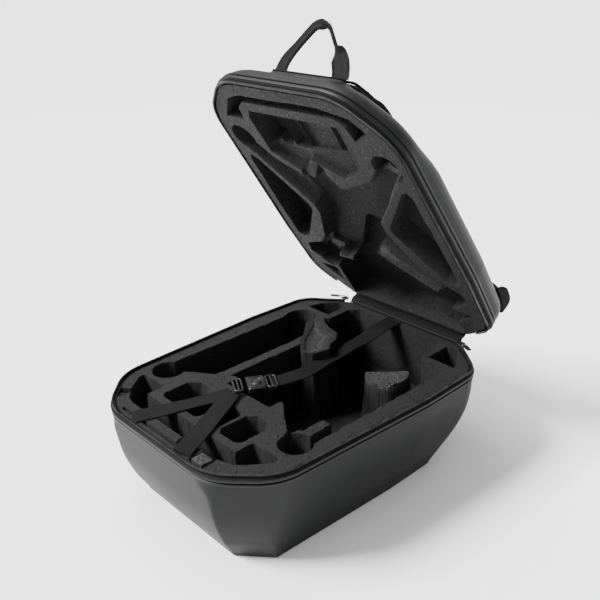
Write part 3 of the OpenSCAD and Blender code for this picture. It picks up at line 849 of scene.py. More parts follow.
def drawn_in(p: Array) -> Array:
    """Draws the lid's back in at its free end, most of all at that end's two corners.

    Formula: a point past 16 mm deep moves towards the middle by a distance that grows with its
    depth, times a smooth step of how near it is to the free end or to a corner of it, fading out
    40 mm and more inside the outline.

    Args:
        p: points across, along and deep in the lid.

    Returns:
        The moved points.
    """
    x, y, deep = p[..., 0], p[..., 1], p[..., 2]
    inward = -OUTER.distance(x.ravel(), y.ravel()).reshape(x.shape)
    corner = ease(((np.abs(x) - y) * 0.7071 + inward - 172.0) / 52.0) * ease((np.abs(x) - 52.0) / 45.0)
    end = ease((inward - y - 190.0) / 25.0) * (1.0 - corner)
    fade = 1.0 - ease((inward - 38.0) / 60.0)
    diagonal = np.interp(deep, CORNER_DRAW[0], CORNER_DRAW[1]) * corner * fade * 0.7071
    along = np.interp(deep, END_DRAW[0], END_DRAW[1]) * end * fade
    out = p.copy()
    out[..., 0] -= np.sign(x) * diagonal
    out[..., 1] += diagonal + along
    return out


@dataclass(frozen=True)
class LidFrame:
    """Turns points of the lid's own frame to where the open lid stands."""

    angle: float = 56.0
    drawn: bool = True

    def __call__(self, p: Array) -> Array:
        """Row-frame place of lid points x, y, depth."""
        p = drawn_in(p) if self.drawn else p
        a = math.radians(self.angle)
        y, z = p[..., 1] - HINGE_Y, p[..., 2] + BASE_H - HINGE_Z
        return np.stack([p[..., 0], HINGE_Y + y * math.cos(a) + z * math.sin(a),
                         HINGE_Z - y * math.sin(a) + z * math.cos(a)], -1)


ON_LID = LidFrame()
ABOVE_LID = LidFrame(drawn=False)


def at_height(ring: Array, z: float | Array) -> Array:
    """A plan ring lifted to a height."""
    return np.column_stack([ring, np.broadcast_to(z, len(ring))])


# ---------------------------------------------------------------------- shells


@dataclass
class BaseShell:
    """The tapered tub with the flat facets at its nose corners."""

    wall: float = 2.6
    top: float = 129.5
    waist_z: float = 47.3
    rows: int = 30
    finishes: Finishes = None

    def section(self, z: float) -> Outline:
        """The outline at a height.

        Formula: foot to waist to rim in straight runs, but above the waist the corners at the
        hinge end follow 1 - (1 - t)^3, which makes that end bulge.
        """
        if z <= 5:
            return FOOT_LINE
        low, high = (z - 5) / (self.waist_z - 5), (z - self.waist_z) / (self.top - self.waist_z)
        if z < self.waist_z:
            return Outline.between(FOOT_LINE, WAIST_LINE, low)
        full = 1 - (1 - high) ** 3
        share = np.array([full if k in (2, 3, 4) else high for k, _ in RUN_ORDER])[:, None]
        p, q = np.array(WAIST_LINE.circles), np.array(OUTER.circles)
        return Outline(tuple(map(tuple, p + (q - p) * share)))

    def crispness(self, z: float) -> dict:
        """Radius of the facet's corners at a height: its nose edge stays crisp, its side edge softens upwards."""
        t = float(np.clip((z - 5) / (self.top - 5), 0, 1))
        nose, side = 5 + 13 * t**2 + 46 * ease(np.array((t - 0.8) / 0.2)), 6 + 62 * t**1.4
        return {4: float(nose), 5: float(nose), 3: side, 6: side}

    def build(self) -> None:
        """Makes the shell.

        Formula: rings of the section outline up the outside, over the lip and down the inside.
        """
        foot = [(0.0, 4.6), (0.35, 3.0), (1.0, 1.7), (2.1, 0.8), (3.6, 0.2), (5.2, 0.0)]
        rises = np.linspace(7.5, self.top - 0.8, self.rows)
        outside = foot + [(z, 1.6 * ((z - 5) / (self.top - 5)) ** 2) for z in rises] + [(self.top - 0.2, 1.65),
                (self.top, 2.1)]
        inside = [(self.top, 3.9), (self.top - 0.8, 4.3)] + [
            (z, self.wall + 1.6 * max(0, (z - 5) / (self.top - 5)) ** 2) for z in np.linspace(120, 8, 12)
        ] + [(self.wall, self.wall + 5)]
        smooth = self.smoothed()
        rings = [at_height(smooth(z).ring(i, 10, 10, self.crispness(z)), z) for z, i in outside + inside]
        place(Solid().loft(np.array(rings)), "base_shell_skin", Body.BASE, self.finishes.shell,
              ("base_shell",), sharp=24.0)

    def smoothed(self):
        """The section as a function of height, with the bend at the waist eased.

        Formula: the mean of nine sections from z - 30 to z + 30, held between foot and rim.
        """
        def at(z: float) -> Outline:
            """Section at z."""
            reach = min(30.0, max(z - 5, 0.0), max(self.top - z, 0.0))
            parts = [np.array(self.section(z + k * reach).circles) for k in np.linspace(-1, 1, 9)]
            return Outline(tuple(map(tuple, sum(parts) / 9)))
        return at


@dataclass
class LidShell:
    """The lid's rounded back."""

    wall: float = 2.6
    finishes: Finishes = None

    def inset(self, d: Array) -> Array:
        """How far the back has drawn in at a depth."""
        return np.interp(d, [12.4, 18, 25, 31, 36, 40, 44, 47, 50], [1.6, 1.0, 1.0, 2.6, 5.2, 8.2, 12.6, 16.8,
                                                                     22.6])

    def build(self) -> None:
        """Makes the shell: rings of the rim outline out to the back, then in again inside it."""
        depth = np.r_[12.4, 12.6, np.linspace(14, 49.2, 26)]
        outside = [(d, float(self.inset(d)) + (0.5 if d < 12.5 else 0)) for d in depth]
        outside += [(49.6, 23.2), (49.9, 24.6), (50.0, 26.4), (50.0, 60.0)]
        inside = [(50 - self.wall, 60.0), (50 - self.wall, 27.0)]
        inside += [(d, float(self.inset(d)) + self.wall) for d in np.linspace(45, 13.4, 10)] + [(12.4, 3.8)]
        rings = [at_height(OUTER.ring(i, 12, 10), d) for d, i in outside + inside]
        shell = Solid().loft(np.array(rings), closed=True)
        cap = [at_height(OUTER.ring(60.0, 12, 10), d) for d in (50.0, 50 - self.wall)]
        shell.loft(np.array(cap))
        place(shell.moved(ON_LID), "lid_shell_skin", Body.LID, self.finishes.shell, ("lid_shell",),
              sharp=30.0)


@dataclass
class RimSet:
    """One half's rim bead, zipper tape and zipper teeth."""

    body: Body
    finishes: Finishes
    bead_steps: int = 420
    tooth_pitch: float = 2.1

    def lift(self, p: Array) -> Array:
        """Puts points drawn at depth from the parting line where this half stands."""
        if self.body is Body.LID:
            return ON_LID(p)
        out = p.copy()
        out[..., 2] = BASE_H - p[..., 2]
        return out

    def bead_profile(self) -> Array:
        """Section of the rim bead: outward distance from the outline, and depth from the parting line."""
        half = np.array([
            (-5.6, 5.7), (-3.4, 5.45), (-2.6, 5.5), (-1.7, 5.75), (-1.3, 6.3), (-0.6, 6.25), (0.2, 6.5),
            (0.65, 7.1),
            (0.8, 7.9), (0.8, 8.7), (0.7, 9.6), (0.35, 10.4), (-0.2, 10.95), (-1.0, 11.15), (-1.5, 11.3),
            (-1.9, 11.75),
            (-1.9, 12.3), (-1.1, 12.5), (-0.4, 12.9), (0.1, 13.6), (0.15, 14.6), (-0.1, 15.5), (-0.6, 16.1),
            (-1.3, 16.2),
            (-1.7, 15.9), (-1.9, 14.0), (-2.2, 12.45), (-5.6, 12.35),
        ])
        return half

    def build(self) -> None:
        """Makes the three pieces.

        Formula: the bead's section is carried round the closed outline, the tape's along the part
        of it that the zipper covers, and one tooth block is repeated along that at even steps.
        """
        name = self.body.value
        path = OUTER.even(0.0, self.bead_steps)
        section = self.bead_profile()
        tangent = unit(np.roll(path, -1, axis=0) - np.roll(path, 1, axis=0))
        out = np.column_stack([tangent[:, 1], -tangent[:, 0]])
        rings = np.concatenate([path[:, None] + out[:, None] * section[None, :, :1],
                                np.broadcast_to(section[None, :, 1:], (len(path), len(section), 1))], 2)
        place(Solid().loft(self.lift(rings), closed=True), f"{name}_rim_beads", self.body, self.finishes.rim,
              (f"{name}_rim_trim",), sharp=32.0)
        end = TAPE_END_Y if self.body is Body.BASE else LID_TAPE_END_Y
        tape = open_run(OUTER.even(2.8, 520), end)
        section = rounded_rectangle(1.2, 3.2, 0.4, 2) + [0, 3.7]
        self.strip(tape, section, f"{name}_zip_tape", self.finishes.tape, f"{name}_zipper_tape")
        run = open_run(OUTER.even(2.5, 1600), end)
        run = even_path(run, int(np.linalg.norm(np.diff(run, axis=0), axis=1).sum() / self.tooth_pitch))
        self.teeth(run, name)

    def strip(self, run: Array, section: Array, name: str, finish: bpy.types.Material,
              node: str) -> None:
        """Carries a section of outward distance and depth along an open run."""
        tangent = unit(np.gradient(run, axis=0))
        out = np.column_stack([tangent[:, 1], -tangent[:, 0]])
        rings = np.concatenate([run[:, None] + out[:, None] * section[None, :, :1],
                                np.broadcast_to(section[None, :, 1:], (len(run), len(section), 1))], 2)
        place(Solid().loft(self.lift(rings)), name, self.body, finish, (node,))

    def teeth(self, run: Array, name: str) -> None:
        """One bevelled tooth repeated along the run by broadcasting, over a thin cord."""
        tangent = unit(np.gradient(run, axis=0))
        out = np.column_stack([tangent[:, 1], -tangent[:, 0]])
        low, high = rounded_rectangle(1.25, 2.6, 0.3, 1), rounded_rectangle(0.9, 2.0, 0.3, 1)
        rows = [np.column_stack([low, np.full(8, 1.95)]), np.column_stack([low, np.full(8, 0.9)]),
                np.column_stack([high, np.full(8, 0.45)])]
        shape = np.array(rows)
        solid = Solid()
        core = rounded_rectangle(0.9, 1.1, 0.3, 1) + [0, 1.45]
        rings = np.concatenate([run[:, None] + out[:, None] * core[None, :, :1],
                                np.broadcast_to(core[None, :, 1:], (len(run), len(core), 1))], 2)
        solid.loft(rings)
        one = Solid().loft(shape)
        points = one.points[0]
        placed = (np.pad(run, ((0, 0), (0, 1)))[:, None]
                  + np.pad(tangent, ((0, 0), (0, 1)))[:, None] * points[None, :, :1]
                  + np.pad(out, ((0, 0), (0, 1)))[:, None] * points[None, :, 1:2]
                  + np.array([0, 0, 1.0]) * points[None, :, 2:])
        offset = (np.arange(len(run)) * len(points))[:, None, None]
        faces = [(f[None] + offset).reshape(-1, f.shape[1]) for f in one.faces]
        uvs = [np.tile(u, (len(run), 1, 1)) for u in one.uvs]
        solid.add(placed.reshape(-1, 3), faces, uvs)
        solid.points = [self.lift(p) for p in solid.points]
        fixed = Solid()
        start = 0
        for p, fs, us in ((solid.points[0], solid.faces[:3], solid.uvs[:3]),
                          (solid.points[1], solid.faces[3:], solid.uvs[3:])):
            fixed.add(p, [f - start for f in fs], us)
            start += len(p)
        place(fixed, f"{name}_zip_teeth", self.body, self.finishes.coil, (f"{name}_zipper_teeth",))


# ----------------------------------------------------------------- foam liners


@dataclass(frozen=True)
class Hollow:
    """One hollow in a foam face: where it is, how deep and how soft its wall."""

    away: Array
    depth: float | Array
    soft: float = 1.1
    # gloss of the hollow's moulded skin; the foam finish also paints it lighter as a painted sheen
    gloss_and_painted_sheen: float = 0.0

    def level(self) -> Array:
        """Depth below the face: the full depth inside, 0 outside, eased over the wall."""
        return self.depth * ease((self.soft - self.away) / (2 * self.soft))


@dataclass
class Liner:
    """A moulded foam liner as a height field over a case outline."""

    inset: float
    columns: int = 268
    rows: int = 350
    draw_in: float = 2.6

    def __post_init__(self) -> None:
        """Lays the plan grid over the outline."""
        v, u = np.meshgrid(np.linspace(0, 1, self.rows), np.linspace(-1, 1, self.columns), indexing="ij")
        self.u, self.v = u, v
        self.x, self.y = OUTER.grid(u, v, self.inset)
        self.hollows: list[Hollow] = []

    def polygon(self, points: list, depth, soft: float = 1.1, gloss_and_painted_sheen: float = 0.0, rounding: float = 0.0) -> "Liner":
        """Adds a hollow with a polygon's plan."""
        self.hollows.append(Hollow(polygon_distance(self.x, self.y, points, rounding), depth, soft, gloss_and_painted_sheen))
        return self

    def disc(self, centre: tuple, radius: float, depth, soft: float = 1.1, gloss_and_painted_sheen: float = 0.0) -> "Liner":
        """Adds a round hollow."""
        self.hollows.append(Hollow(circle_distance(self.x, self.y, centre, radius), depth, soft, gloss_and_painted_sheen))
        return self

    def bar(self, a: tuple, b: tuple, ra: float, rb: float, depth, soft: float = 1.1,
            gloss_and_painted_sheen: float = 0.0) -> "Liner":
        """Adds a bar-shaped hollow, such as an arm channel."""
        self.hollows.append(Hollow(capsule_distance(self.x, self.y, a, b, ra, rb), depth, soft, gloss_and_painted_sheen))
        return self

    def surface(self, most: Array) -> tuple[Array, Array, Array, Array]:
        """Works out the carved face.

        Formula: the depth is the greatest over all hollows, held to the room in the shell; near
        an edge each grid point moves along the gradient g of the joint distance s by
        s - s|s|/c, so that the wall between two rows of points stands nearly upright.

        Args:
            most: the greatest depth allowed at each point.

        Returns:
            X, Y, depth and the shine of every grid point, which gives gloss and a painted sheen in the base colour.
        """
        depth = np.zeros_like(self.x)
        shine = np.zeros_like(self.x)
        joint = np.full(self.x.shape, 1e3)
        for h in self.hollows:
            level = h.level()
            # shine: gloss of the moulded skin, also painted lighter in the foam's base colour as a painted sheen
            shine = np.where(level > depth, h.gloss_and_painted_sheen * ease(-h.away / 3), shine)
            depth = np.maximum(depth, level)
            joint = np.minimum(joint, h.away)
        dy, dx = np.gradient(joint)
        step_x, step_y = np.gradient(self.x, axis=1), np.gradient(self.y, axis=0)
        gx, gy = dx / np.maximum(step_x, 1e-6), dy / np.maximum(step_y, 1e-6)
        size = np.maximum(np.hypot(gx, gy), 1e-6)
        near = np.abs(joint) < self.draw_in
        push = np.where(near, joint - joint * np.abs(joint) / self.draw_in,
                        0.0) * ease((24 - np.abs(gx) - np.abs(gy)) / 22)
        fade = ease(np.minimum(np.minimum(1 - np.abs(self.u), 0.02) / 0.02,
                               np.minimum(np.minimum(self.v, 1 - self.v), 0.012) / 0.012))
        x, y = self.x - gx / size * push * fade, self.y - gy / size * push * fade
        return x, y, np.minimum(depth, most), shine

    def close(self, x: Array, y: Array, z: Array, skirts: list, shine: Array, move=None) -> Solid:
        """Closes the face with a skirt and a back.

        Formula: the face's border is carried down through the given outlines at the same shares
        u and v, and a fan closes the last one.

        Args:
            x: X of the face.
            y: Y of the face.
            z: height or depth of the face.
            skirts: outline, inset and height of each ring under the border.
            shine: the shine of each face point.
            move: turns the points to the row frame.

        Returns:
            The closed solid; its shine, which gives gloss and a painted sheen, is kept in self.skin, point by
            point.
        """
        rows, cols = x.shape
        face = np.stack([x, y, z], -1).reshape(-1, 3)
        index = np.arange(rows * cols).reshape(rows, cols)
        quads = np.stack([index[:-1, :-1], index[:-1, 1:], index[1:, 1:], index[1:, :-1]], -1).reshape(-1, 4)
        border = np.concatenate([index[0, :-1], index[:-1, -1], index[-1, :0:-1], index[:0:-1, 0]])
        points, faces, last = [face], [quads], border
        bu, bv = self.u.ravel()[border], self.v.ravel()[border]
        count = len(face)
        n = len(border)
        for outline, inset, height in skirts:
            sx, sy = outline.grid(bu, bv, inset)
            points.append(np.column_stack([sx, sy, np.full(n, height)]))
            ring = np.arange(n) + count
            faces.append(np.stack([last, ring, np.roll(ring, -1), np.roll(last, -1)], 1))
            last, count = ring, count + n
        points.append(points[-1].mean(0)[None])
        faces.append(np.stack([last, np.full(n, count), np.roll(last, -1)], 1))
        cloud = np.vstack(points)
        self.skin = np.r_[shine.ravel(), np.zeros(len(cloud) - len(face))]
        uvs = [cloud[f][..., :2] for f in faces]
        if move is not None:
            cloud = move(cloud)
        return Solid().add(cloud, faces, uvs)

    def finish(self, solid: Solid, name: str, body: Body, finish: bpy.types.Material, slot: str,
               nodes: tuple) -> None:
        """Places the liner and gives it its shine attribute, which drives gloss and a painted sheen in the foam's
        base colour.
        """
        mesh = solid.mesh(name)
        shine = mesh.attributes.new("skin", "FLOAT", "POINT")
        shine.data.foreach_set("value", self.skin.astype(np.float32))
        place(mesh, name, body, finish, nodes, sharp=42.0)


def mirror_x(points: list) -> list:
    """The same corners on the other side."""
    return [(-x, y) for x, y in points]


@dataclass
class BaseLiner:
    """The base's foam, hollowed for the craft's parts."""

    finishes: Finishes
    top: float = 138.0

    def room(self, liner: Liner) -> Array:
        """Greatest depth at each point before the shell's inside.

        Formula: the height where the distance from the shell's foot, waist and rim outlines,
        read in straight runs between them, passes 0.
        """
        foot = FOOT_LINE.distance(liner.x, liner.y, 4.6)
        waist = WAIST_LINE.distance(liner.x, liner.y, 3.8)
        low = 8 + 39.3 * np.clip(foot / np.maximum(foot - waist, 1e-3), 0, 1)
        rim = np.minimum(OUTER.distance(liner.x, liner.y, 5.6), -0.01)
        high = 47.3 + 82.2 * np.clip(waist / np.maximum(waist - rim, 1e-3), 0, 1)
        floor = np.where(waist > 0, high, np.where(foot > 0, low, 8.0))
        return self.top - np.maximum(floor, 17.0) - 1.0

    def build(self) -> None:
        """Carves the hollows and makes the liner."""
        f = Liner(inset=6.9)
        self.nose(f)
        self.bays(f)
        x, y, depth, shine = f.surface(self.room(f))
        ripple = 0.25 * np.sin(x / 31.0 + 1.7) * np.cos(y / 37.0)
        skirts = [(OUTER, 7.0, 128.0), (WAIST_LINE, 4.6, 47.3), (FOOT_LINE, 5.6, 7.0)]
        solid = f.close(x, y, self.top - depth - 0.3 + ripple, skirts, shine)
        f.finish(solid, "base_liner", Body.BASE, self.finishes.foam, "foam",
                 ("base_foam_floor", "base_foam_nose", "base_foam_left_rail", "base_foam_right_rail",
                  "base_foam_tail", "base_foam_divider", "base_foam_left_saddle", "base_foam_right_saddle"))

    def nose(self, f: Liner) -> None:
        """Battery pockets, blade channel, motor pockets and the slit at the nose end."""
        battery = [(-78, -150), (-72, -155), (-48, -155), (-41, -149), (-41, -112), (-50, -103), (-66, -103),
                   (-78, -114)]
        inner = [(-34, -150), (-28, -155), (-8, -155), (-3, -149), (-3, -116), (-10, -108), (-24, -108),
                 (-34, -116)]
        f.polygon(battery, 74).polygon([(38, -149), (45, -155), (70, -155), (77, -150), (77, -116), (66, -103),
                                        (48, -103), (38, -112)], 74)
        f.polygon(inner, 20, gloss_and_painted_sheen=0.4).polygon([(2, -149), (7, -155), (26, -155), (32, -150), (32, -116),
                                                 (24, -108), (8, -108), (2, -116)], 20, gloss_and_painted_sheen=0.4)
        f.polygon([(-138, -143), (-95, -141), (-93, -168), (88, -168), (88, -142), (132, -140), (132, -150),
                   (112, -175),
                   (103, -183), (80, -190), (-90, -190), (-105, -186), (-118, -175), (-137, -150)], 42)
        f.disc((-126, -112), 21.5, 48, gloss_and_painted_sheen=0.7).disc((123, -108), 20.5, 48, gloss_and_painted_sheen=0.7)
        f.polygon([(-85, -204.6), (30, -204.6), (30, -207.6), (-85, -207.6)], 28, soft=0.8)
        f.polygon([(-129, -184), (-126.5, -187), (-116, -178.5), (-118, -175.5)], 24, soft=0.8)
        f.polygon([(-122, -178), (-112, -180), (-100, -190), (-118, -196), (-128, -185)], 3.2, soft=0.9)
        f.polygon([(60.5, -191.5), (84.5, -191.5), (84.5, -212), (61.5, -212)], 29, soft=0.7)
        f.polygon([(20, -193), (56, -193), (57, -203), (24, -203)], 3.0, soft=0.9)

    def bays(self, f: Liner) -> None:
        """The side bays, the middle room, the motor pockets at the hinge end and its corner pockets."""
        f.polygon([(-138, -98), (-104, -98), (-98, -92), (-72, -75), (-71, -60), (-71, 62), (-74, 84),
                   (-98, 112), (-104, 126),
                   (-112, 146), (-136, 142), (-140, 118), (-138, 100)], 96)
        f.disc((-122, 124), 22, 62, gloss_and_painted_sheen=0.85)
        middle = [(-54, -62), (-45, -58), (-40, -60), (-40, -77), (40, -77), (40, -60), (47, -58), (72, -79),
                  (98, -97), (101, -105),
                  (104, -86), (108, -84), (108, -50), (123, -50), (124, -84), (134, -98), (136, -90),
                  (136, 145), (112, 150), (90, 152), (88, 182),
                  (76, 203), (-74, 203), (-84, 190), (-84, 150), (-90, 143), (-76, 134), (-62, 128), (-42, 124),
                  (-30, 110),
                  (-24, 92), (-14, 82), (-20, 54), (-34, 46), (-54, 60)]
        f.polygon(middle, 108)
        f.polygon([(-92, 124), (-76, 116), (-52, 112), (-38, 88), (-26, 78), (-32, 58), (-40, 56), (-62, 78)],
                  6, soft=9.0, gloss_and_painted_sheen=0.35)
        for side in Side:
            pocket = [(98, 158), (140, 158), (131, 181), (115, 199), (98, 196)]
            f.polygon([(side.value * a, b) for a, b in pocket], 52)


@dataclass
class RightSaddle:
    """The moulded seat in the right bay, lower than the face, with a glossy bead-textured top whose base colour is
    lifted as a painted sheen.
    """

    finishes: Finishes
    columns: int = 110
    rows: int = 110

    def build(self) -> None:
        """Makes the seat.

        Formula: a polar grid over a rounded outline; its height is a rounded top that falls off
        like a smooth step towards the rim, dished along one diagonal and sloped along the other.
        """
        outline = smooth_path([(14, 113), (28, 124), (42, 135), (56, 147), (70, 158), (80, 150), (85, 131),
                               (81, 116),
                               (72, 103), (52, 96), (32, 99), (14, 113)], self.columns + 1)[:-1]
        middle = np.array([55.0, 121.0])
        s = np.linspace(1, 0.02, self.rows)[:, None]
        plan = middle + (outline - middle)[None] * s[..., None]
        across = (plan[..., 0] - middle[0]) * 0.74 - (plan[..., 1] - middle[1]) * 0.67
        along = (plan[..., 0] - middle[0]) * 0.67 + (plan[..., 1] - middle[1]) * 0.74
        rise = 75 * ease((1 - s) / 0.2) + 30
        dish = 2.5 * np.exp(-((across - 6) / 24) ** 2) * ease((1 - s) / 0.3)
        slope = 0.12 * along * ease((1 - s) / 0.3)
        z = rise - dish + slope
        top = np.concatenate([plan, z[..., None]], 2)
        base = np.concatenate([outline * 0.985 + middle * 0.015, np.full((self.columns, 1), 24.0)], 1)[None]
        solid = Solid().loft(np.vstack([base, top]))
        mesh = solid.mesh("base_right_seat")
        shine = mesh.attributes.new("skin", "FLOAT", "POINT")
        # the top's skin value lowers the foam's roughness and lifts its base colour there as a painted sheen
        skin = np.r_[np.zeros(self.columns), (ease((1 - s) / 0.2) * ease((z - 90) / 10)).ravel(), 0.0, 1.0]
        shine.data.foreach_set("value", skin.astype(np.float32))
        place(mesh, "base_right_seat", Body.BASE, self.finishes.foam, sharp=50.0)


@dataclass
class LidLiner:
    """The lid's foam, hollowed for the craft itself."""

    finishes: Finishes
    face: float = 1.5

    def room(self, liner: Liner) -> Array:
        """Greatest depth at each point before the lid's back: read from how far the back draws in."""
        inward = -OUTER.distance(liner.x, liner.y)
        return np.interp(inward, [7, 11, 15, 20, 26], [10, 24, 34, 40, 43]) - self.face

    def build(self) -> None:
        """Carves the hollows and makes the liner."""
        f = Liner(inset=6.9)
        self.craft(f)
        self.pockets(f)
        self.nose(f)
        x, y, depth, shine = f.surface(self.room(f))
        ripple = 0.25 * np.sin(x / 29.0 + 0.4) * np.cos(y / 33.0)
        skirts = [(OUTER, 7.0, 13.0), (OUTER, 8.2, 30.0), (OUTER, 12.5, 41.0), (OUTER, 21.0, 46.6)]
        solid = f.close(x, y, self.face + depth + ripple + 0.3, skirts, shine, ON_LID)
        f.finish(solid, "lid_liner", Body.LID, self.finishes.foam, "foam",
                 ("lid_foam_backing", "lid_foam_rim", "lid_foam_nose_floor", "lid_foam_nose_left_island",
                  "lid_foam_nose_right_island", "lid_foam_nose_left_lobe", "lid_foam_nose_right_lobe",
                  "lid_foam_left_island", "lid_foam_right_island", "lid_foam_tail_left", "lid_foam_tail_right"))

    def craft(self, f: Liner) -> None:
        """Room for the craft's body, arms and motors."""
        f.polygon([(-58, 8), (-40, 90), (8, 72), (22, 54), (40, 60), (58, 8), (58, -12), (30, -58), (20, -57),
                   (-5, -92), (-30, -58), (-58, -12)], 24, soft=2.4)
        f.bar((-3, -88), (-31, -72), 11, 11, 5)
        for side in Side:
            f.disc((side.value * 124, -119), 20, 30, gloss_and_painted_sheen=0.8)
            f.bar((side.value * 40, -10), (side.value * 122, -112), 15, 12, 20, soft=3.0, gloss_and_painted_sheen=0.7)
            f.disc((side.value * 112, 128), 17, 26, gloss_and_painted_sheen=0.8)
        f.bar((-22, 30), (-116, 122), 16, 14, 17, soft=3.0, gloss_and_painted_sheen=0.6)
        f.polygon([(-97, 205), (-97, 140), (-92, 112), (-50, 110), (-42, 92), (0, 22), (8, 18), (30, 20),
                   (34, 26), (22, 54),
                   (8, 74), (98, 120), (110, 132), (112, 205)], 38)
        f.polygon([(-98, 96), (-80, 60), (-58, 10), (-58, -10), (-75, -38), (-112, -88), (-100, -96),
                   (-30, -60), (30, -60), (30, 46), (8, 72), (-60, 104)], 25, soft=1.6)
        f.polygon([(58, 10), (58, -10), (75, -38), (112, -88), (100, -96), (30, -60), (-30, -60), (-30, 22),
                   (40, 22)], 25, soft=1.6)
        f.polygon([(42, 24), (60, 12), (80, 58), (98, 90), (28, 54)], 15, soft=1.6)
        f.polygon([(9, 74), (25, 53), (118, 103), (101, 118)], 4.5, soft=1.4, gloss_and_painted_sheen=1.0)

    def pockets(self, f: Liner) -> None:
        """The long side pockets and the small ones at the hinge end."""
        side_pocket = [(-148, 80), (-137, 84), (-126, 80), (-74, 8), (-73, -2), (-128, -80), (-136, -84),
                       (-141, -78), (-146, 0)]
        first = [(-146, 122), (-132, 131), (-108, 108), (-97, 92), (-110, 90), (-140, 103)]
        second = [(-140, 151), (-108, 151), (-108, 178), (-118, 172)]
        for turn in (list, mirror_x):
            f.polygon(turn(side_pocket), 31).polygon(turn(first), 20).polygon(turn(second), 20)

    def nose(self, f: Liner) -> None:
        """The channel and the hollows at the handle end."""
        f.polygon([(-130, -157), (-97, -156), (-93, -176), (-78, -187), (80, -187), (92, -178), (97, -157),
                   (120, -172),
                   (104, -190), (60, -198), (-80, -196), (-104, -188)], 27)
        f.polygon([(-82, -104), (-36, -76), (-6, -106), (40, -84), (72, -100), (82, -130), (80, -172),
                   (-75, -172), (-82, -160)], 8)
        f.polygon([(-82, -115), (-40, -115), (-32, -125), (-30, -160), (-40, -172), (-72, -172), (-82, -160)], 31)
        f.polygon([(-82, -104), (-36, -76), (-10, -104), (-8, -116), (-45, -112), (-70, -118)], 14, soft=2.0,
                  gloss_and_painted_sheen=0.6)
        f.polygon([(-30, -118), (0, -118), (0, -172), (-30, -172)], 20)
        f.polygon([(1, -122), (8, -122), (8, -172), (1, -172)], 31).polygon([(56, -128), (63, -128), (63, -172),
                (56, -172)], 31)
        f.polygon([(9, -122), (55, -126), (55, -170), (9, -170)], 11)


# ---------------------------------------------------------------------- studio


@dataclass
class Studio:
    """Pale floor, soft light and the camera."""

    azimuth: float = 48.30
    elevation: float = 24.20
    roll: float = -1.82
    lens: float = 48.5
    place_at: tuple = (0.7033, -0.6115, 0.6614)
    floor_size: float = 60.0

    def camera(self) -> None:
        """Sets the camera up from its bearing, height and roll.

        Formula: the back vector is (sin a cos e, -cos a cos e, sin e), and the right and up
        vectors are turned about it by the roll.
        """
        a, e, r = (math.radians(v) for v in (self.azimuth, self.elevation, self.roll))
        back = np.array([math.sin(a) * math.cos(e), -math.cos(a) * math.cos(e), math.sin(e)])
        right = unit(np.cross(-back, [0, 0, 1.0]))
        up = np.cross(right, -back)
        across = math.cos(r) * right + math.sin(r) * up
        above = -math.sin(r) * right + math.cos(r) * up
        data = bpy.data.cameras.new("camera")
        data.lens = self.lens
        data.sensor_width = 36.0
        made = bpy.data.objects.new("camera", data)
        matrix = np.eye(4)
        matrix[:3, 0], matrix[:3, 1], matrix[:3, 2], matrix[:3, 3] = across, above, back, self.place_at
        made.matrix_world = Matrix(matrix.tolist())
        bpy.context.scene.collection.objects.link(made)
        bpy.context.scene.camera = made

    def floor(self) -> None:
        """A wide pale floor with rounded corners, under the case."""
        ring = rounded_rectangle(self.floor_size, self.floor_size, 1.0, 6)
        verts = [(x, y, -0.0005) for x, y in ring]
        mesh = bpy.data.meshes.new("studio_floor")
        mesh.from_pydata(verts, [], [tuple(range(len(verts)))])
        paper = bpy.data.materials.new("paper_floor")
        paper.use_nodes = True
        shader = next(n for n in paper.node_tree.nodes if n.type == "BSDF_PRINCIPLED")
        shader.inputs["Base Color"].default_value = (0.92, 0.92, 0.92, 1)
        shader.inputs["Roughness"].default_value = 0.9
        shader.inputs["Specular IOR Level"].default_value = 0.1
        mesh.materials.append(paper)
        made = bpy.data.objects.new("studio_floor", mesh)
        bpy.context.scene.collection.objects.link(made)

    def light(self, name: str, at: tuple, aim: tuple, size: float, power: float) -> None:
        """A soft square light looking at a point."""
        data = bpy.data.lights.new(name, "AREA")
        data.shape = "SQUARE"
        data.size = size
        data.energy = power
        made = bpy.data.objects.new(name, data)
        back = unit(np.array(at) - np.array(aim))
        right = unit(np.cross([0, 0, 1.0], back))
        matrix = np.eye(4)
        matrix[:3, 0], matrix[:3, 1], matrix[:3, 2], matrix[:3, 3] = right, np.cross(back, right), back, at
        made.matrix_world = Matrix(matrix.tolist())
        bpy.context.scene.collection.objects.link(made)

    def sun(self, name: str, toward: tuple, spread: float, power: float) -> None:
        """A broad far light that comes from the given direction."""
        data = bpy.data.lights.new(name, "SUN")
        data.energy = power
        data.angle = math.radians(spread)
        made = bpy.data.objects.new(name, data)
        back = unit(np.array(toward, float))
        right = unit(np.cross([0, 0, 1.0], back))
        matrix = np.eye(4)
        matrix[:3, 0], matrix[:3, 1], matrix[:3, 2] = right, np.cross(back, right), back
        made.matrix_world = Matrix(matrix.tolist())
        bpy.context.scene.collection.objects.link(made)

    def build(self) -> None:
        """Camera, floor, world and lights."""
        self.camera()
        self.floor()
        world = bpy.data.worlds.new("pale_room")
        world.use_nodes = True
        world.node_tree.nodes["Background"].inputs[0].default_value = (1, 1, 1, 1)
        world.node_tree.nodes["Background"].inputs[1].default_value = 0.9
        bpy.context.scene.world = world
        self.sun("key", (-0.62, -0.85, 1.0), 22.0, 11.0)
        self.light("top", (-0.9, 0.2, 2.4), (0, 0, 0.25), 1.6, 40)


# ------------------------------------------------------------- small-part tools


